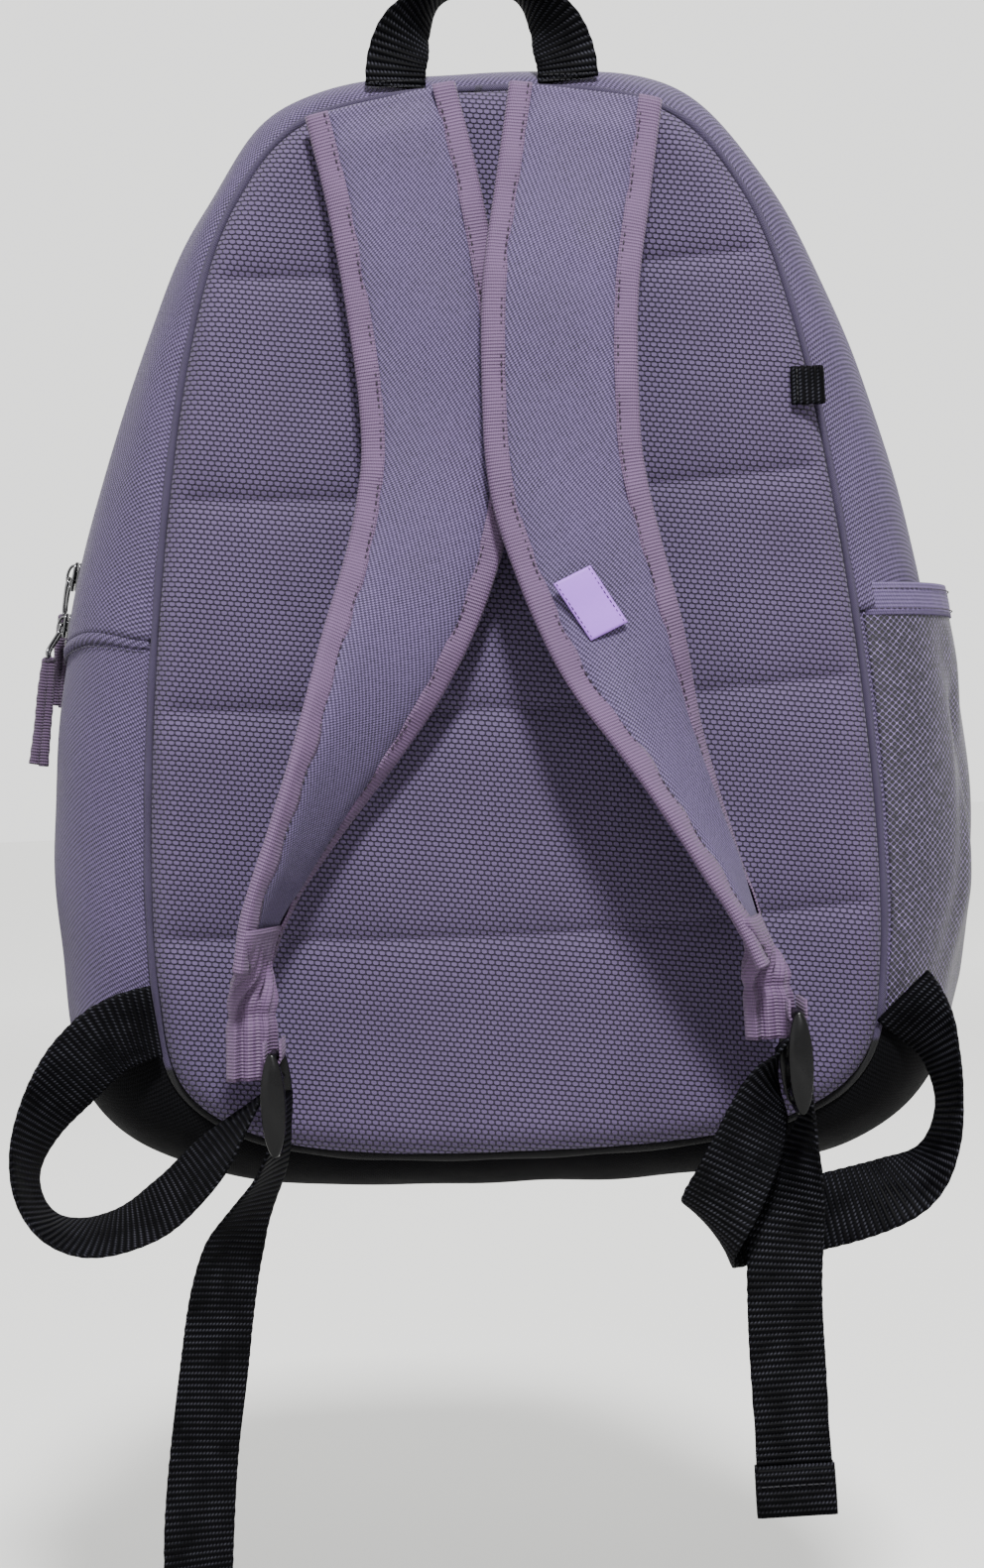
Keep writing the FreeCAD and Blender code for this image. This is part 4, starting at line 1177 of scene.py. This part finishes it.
tab = plate("pocket_pull_tab", tab, -0.9, 0.9, eye + (16.6, 0, 0), axes, M_CORD, 0.4)
place(join("pocket_pull_piece", [link, tab]), "pocket_pull", ["front_pocket_pull"])


# ------------------------------------------------------------ mesh pocket on the right
def bottle_surface(d0, d1, rows, cols, stand):
    """Skin standing off the right side panel, fullest at mid depth and drawn in to the base."""
    ys = arc_rows(0.1, DEPTH - 0.1, rows)
    points = surface("right", ys, cols, d0, d1, grow=stand)
    d = SEAM_Z - points[..., 2]
    full = np.array([share_at(y) for y in ys])[:, None]
    lower = np.clip((d - 335.0) / 60.0, 0, 1)
    room = 9.2 * full * (1 - lower * lower * (3 - 2 * lower))
    points[..., 0] += room
    return points, d


MESH_TOP, MESH_LOW = 219.0, 397.0
ELASTIC_TOP, ELASTIC_LOW = 210.0, 223.4
skin, d = bottle_surface(MESH_TOP, MESH_LOW, 70, 120, 2.3)
y = skin[..., 1]
draw = np.clip((d - MESH_TOP) / 25.0, 0, 1) * np.clip((MESH_LOW - d) / 20.0, 0, 1)
draw = draw * np.sin(np.pi * y / DEPTH) ** 0.5
fold = (0.55 * np.sin(y / 4.6 + d / 38.0) + 0.45 * np.sin(y / 7.7 - d / 21.0 + 1)
        + 0.4 * np.sin(d / 13.0 + y / 16.0))
deep = (np.exp(-((y - 40 - (d - 300) * 0.22) / 7.0) ** 2)
        + 0.7 * np.exp(-((y - 22 + (d - 330) * 0.16) / 5.0) ** 2))
skin[..., 0] += (fold * draw * 1.3 - 0.5
                 - 3.0 * deep * np.clip((d - 225) / 40.0, 0, 1) * np.clip((395 - d) / 50.0, 0, 1))
bag_sheet("bottle_pocket_mesh", skin, M_NET, 0.8, 1, "mesh_pocket")
top, d = bottle_surface(ELASTIC_TOP, ELASTIC_LOW, 70, 8, 2.9)
down = (d - ELASTIC_TOP) / (ELASTIC_LOW - ELASTIC_TOP)
top[..., 0] += 0.22 * np.sin(top[..., 1] / 1.3) * np.sin(np.pi * down)
elastic = cloth("bottle_pocket_elastic", top, M_ELASTIC, 1.7, 1)
place(elastic, "pack", ["pocket_elastic"])
for k in (212.6, 220.8):
    row, _ = bottle_surface(k, k + 0.5, 70, 2, 3.4)
    sew(elastic, "elastic_stitch_%d" % k, row[:, 0], (1, 0, 0.1), M_THREAD_PALE, 2.8, 1.9, 0.26)

# ------------------------------------------------------------ small sewn parts
low, high = cad_box("side_tab")
t = np.linspace(0, 1, 26)
fold = np.concatenate([np.column_stack([low[0] + 0.3 + 12.2 * t, np.full(26, high[1] - 0.9)]),
                       np.column_stack([low[0] + 12.5 + 0.95 * np.sin(np.pi * t),
                                        high[1] - 1.8 + 0.9 * np.cos(np.pi * t)]),
                       np.column_stack([low[0] + 12.5 - 12.2 * t, high[1] - 2.75 + 0.2 * np.sin(6 * t)])])
fold = np.array([p for k, p in enumerate(fold) if k == 0 or np.linalg.norm(p - fold[k - 1]) > 1e-3])
path = np.column_stack([fold[:, 0], fold[:, 1], np.full(len(fold), (low[2] + high[2]) / 2)])
tab = level_ribbon("side_tab_webbing", path, [0, 0, 1.0], M_WEB, 15.6, 1.3)
place(tab, "pack", ["side_tab"])
row = np.column_stack(np.broadcast_arrays(low[0] + 2.6, high[1] - 3.5,
                                          np.linspace(low[2] + 1, high[2] - 1, 14)))
sew(tab, "side_tab_stitch", row, (0, -1, 0), M_THREAD_BLACK, 2.3, 1.6, 0.26)

a, b = np.array([27, -50.6, SEAM_Z - 205.5]), np.array([41, -49.8, SEAM_Z - 228.5])
wide = np.array([0.9, 0.16, 0.42]) / np.linalg.norm([0.9, 0.16, 0.42])
s, f = np.linspace(0, 1, 24), np.linspace(-8.3, 8.3, 18)
face = a + s[:, None, None] * (b - a) + f[None, :, None] * wide
face[..., 1] -= 0.35 * np.cos(f / 8.3 * 1.4)[None] + 0.15 * np.sin(s * 9)[:, None]
label = cloth("blank_label", face, M_LABEL, 0.5, 1)
place(label, "strap_right", ["strap_label"])
for k in (-7.3, 7.3):
    row = a + s[:, None] * (b - a) + k * wide + np.array([0, -0.55, 0])
    sew(label, "label_stitch_%d" % k, row, (0, -1, 0), M_THREAD_PALE, 2.2, 1.5, 0.22)

# Inner layers: the pad's lining and the bound seam allowances
core, core_uv = pad_grid(60, 40, 3.4, 0.0)
core[..., 1] = -0.9
bag_sheet("pad_lining_cloth", core, M_LINING, 0.6, 1, "back_panel_lining", uv=core_uv)
for name, y0, y1 in (("rear", 2.2, 9.8), ("front", DEPTH - 9.8, DEPTH - 2.2)):
    ring = seam_ring(300, -5.2)
    rows = [at_depth(ring[:, 0], k, ring[:, 1]) for k in np.linspace(y0, y1, 6)]
    bag_sheet(name + "_seam_tape", np.array(rows), M_LINING, 1.2, 1, name + "_seam_binding")


# ------------------------------------------------------------ ladder-locks and the tape loops that hold them
def lock(tag, x, y, top):
    parts = []
    for sign in (-1, 1):
        rail = superoval(20.4, 3.4, 2.3, 44)
        rail[:, 1] += 1.5 * np.clip(np.cos(rail[:, 0] / 20.4 * 1.5), 0, 1) * np.sign(rail[:, 1])
        origin = np.array([x, y + sign * 17.4, SEAM_Z - top - 20.5])
        axes = ((0, 0, -1), (1, 0, 0), (0, 1, 0))
        parts.append(plate("rail", rail, -1.5, 1.5, origin, axes, M_BUCKLE, 0.7))
    for low, high, shift in ((0.2, 3.4, 0), (10.8, 14.0, 0.6), (21.2, 25.2, -0.4), (32.6, 36.6, 0)):
        mid = np.array([x + shift, y, SEAM_Z - top - (low + high) / 2])
        line = mid + np.linspace(-17, 17, 9)[:, None] * np.array([0, 1.0, 0])
        parts.append(tube("bar", line, (high - low) / 2, M_BUCKLE, 14, flat=1.25, ref=(1, 0, 0)))
    hem = [(-11, 0, 36), (-12, 0, 39), (-9, 0, 40.6), (0, 0, 41), (9, 0, 40.6), (12, 0, 39), (11, 0, 36)]
    line = spline(np.array([(x, y + a, SEAM_Z - top - c) for a, _, c in hem]), 6)
    parts.append(tube("lip", line, 1.3, M_BUCKLE, 10, ref=(1, 0, 0)))
    place(join("ladder_lock_%s_body" % tag, parts), "buckle_" + tag, ["ladder_lock_" + tag])


def gathered_loop(tag, strap, x, y, top):
    """Tape gathered out of the strap's end, round the lock's top bar and back."""
    count = 30
    end = len(strap.mid) - 1
    start = int(np.searchsorted(strap.length, strap.length[-1] - 20))
    goal = np.array([x - 9.5, y + 1.0, SEAM_Z - top - 12.0])
    path = np.concatenate([strap.mid[start:end + 1:3], [strap.mid[end] * 0.5 + goal * 0.5, goal]])
    path = resample(path, count)
    t = np.linspace(0, 1, count)
    turn = np.linspace(0, 2 * np.pi, 72, endpoint=False)
    rings = []
    for p, k in zip(path, t):
        q, r = (w * w * (3 - 2 * w) for w in np.clip(((k - 0.02) / 0.40, (k - 0.24) / 0.30), 0, 1))
        facing = math.radians(80 * (1 - r) + 14 * r)
        side = np.array([math.cos(facing), math.sin(facing), 0.0])
        out = np.cross(np.array([0, 0, -1.0]), side)
        tuck = math.exp(-((k - 0.58) / 0.045) ** 2)
        wide = (23.0 * (1 - q) + 10.4 * q) * (1 - 0.10 * tuck)
        deep = 4.4 * (1 - 0.42 * tuck)
        c, s_ = np.cos(turn), np.sin(turn)
        a = np.sign(c) * np.abs(c) ** 0.6 * wide
        pleat = 2.0 * np.cos(a * 1.0 + 0.7 + 0.8 * k) + 0.4 * np.cos(a * 2.9 + 4 * k)
        b = np.sign(s_) * np.abs(s_) ** 0.6 * (deep + pleat * q * np.abs(s_) ** 0.4 * (1 - 0.4 * tuck))
        rings.append(p + a[:, None] * side + b[:, None] * out)
    sleeve = rings_mesh("strap_%s_gather" % tag, np.array(rings), turn * 9.0, running(path), M_TAPE)
    t = np.linspace(0, np.pi, 24)
    bight = [(x - 3.1 * math.cos(k), y, SEAM_Z - top - 2.0 - 3.0 * math.sin(k)) for k in t]
    line = np.array([(x - 3.1, y, SEAM_Z - top + 4)] + bight + [(x + 3.1, y, SEAM_Z - top + 4)])
    loop = level_ribbon("strap_%s_bight" % tag, line, [0, 1.0, 0], M_TAPE, 28.6, 1.2)
    tape = join("strap_%s_tape" % tag, [sleeve, loop])
    place(tape, "strap_" + tag, ["strap_%s_tape_loop" % tag])


LOCK_AT = {"left": (-99.0, -44.0, 389.0), "right": (108.5, -44.0, 381.0)}    # x, y and depth of the top bar
for tag in LOCK_AT:
    lock(tag, *LOCK_AT[tag])
for tag, strap in (("left", left), ("right", right)):
    gathered_loop(tag, strap, *LOCK_AT[tag])


# ------------------------------------------------------------ stage, light, camera
CAMERA_DISTANCE = 1.1    # metres from the face of the back pad
CAMERA_ROLL = 2.4        # degrees
FLOOR_HALF = 30000
FLOOR_Z = -770


def camera_and_lights():
    roll = math.radians(CAMERA_ROLL)
    cam = bpy.data.cameras.new("camera")
    cam.lens = 61.5
    cam.sensor_width = 36.0
    cam.sensor_fit = "AUTO"
    cam.clip_start = 0.05
    obj = bpy.data.objects.new("camera", cam)
    bpy.context.scene.collection.objects.link(obj)
    right = (math.cos(roll), 0, -math.sin(roll), 0)
    up = (math.sin(roll), 0, math.cos(roll), 0)
    back = (0, -1, 0, 0)
    place_at = (-0.008, -0.012 - CAMERA_DISTANCE, -0.329, 1)
    obj.matrix_world = Matrix([right, up, back, place_at]).transposed()
    bpy.context.scene.camera = obj
    for name, at, size, power, aim in (
            ("key", (0.28, -1.75, 1.75), 0.35, 330, (0, 0, -0.25)),
            ("fill", (-1.8, -1.6, 0.3), 1.8, 14, (0, 0, -0.3)),
            ("rim", (0.2, 1.9, 1.2), 1.6, 26, (0, 0.05, -0.25))):
        light = bpy.data.lights.new(name, "AREA")
        light.size = size
        light.energy = power
        lamp = bpy.data.objects.new(name, light)
        lamp.location = at
        lamp.rotation_euler = (Vector(aim) - Vector(at)).to_track_quat("-Z", "Y").to_euler()
        bpy.context.scene.collection.objects.link(lamp)


world = bpy.data.worlds.new("studio")
world.use_nodes = True
for k, value in enumerate(((0.88, 0.88, 0.865, 1), 2.0)):
    world.node_tree.nodes["Background"].inputs[k].default_value = value
bpy.context.scene.world = world
n = Nodes("floor_pale", (0.8, 0.8, 0.78), 0.9, spec=0.1)
reach = n.node("VectorMath", Vector=n.node("TexCoord").outputs["Object"])
reach.operation = "LENGTH"
tone = n.ramp(reach.outputs["Value"], 0.6, 5.0)
# Painted shade: the floor is darkest within 0.6 m of the middle under the bag, where the key light falls, and
# pales out to 5 m.
near_painted_shade = n.mix(n.noise(3.0), (0.43, 0.43, 0.42), (0.46, 0.46, 0.45))
corners = [(x * FLOOR_HALF, y * FLOOR_HALF, FLOOR_Z) for x, y in ((-1, -1), (1, -1), (1, 1), (-1, 1))]
pale = n.finish(n.mix(tone, near_painted_shade, (0.90, 0.90, 0.885)))
add_mesh("floor", corners, [(0, 1, 2, 3)], None, pale)
camera_and_lights()
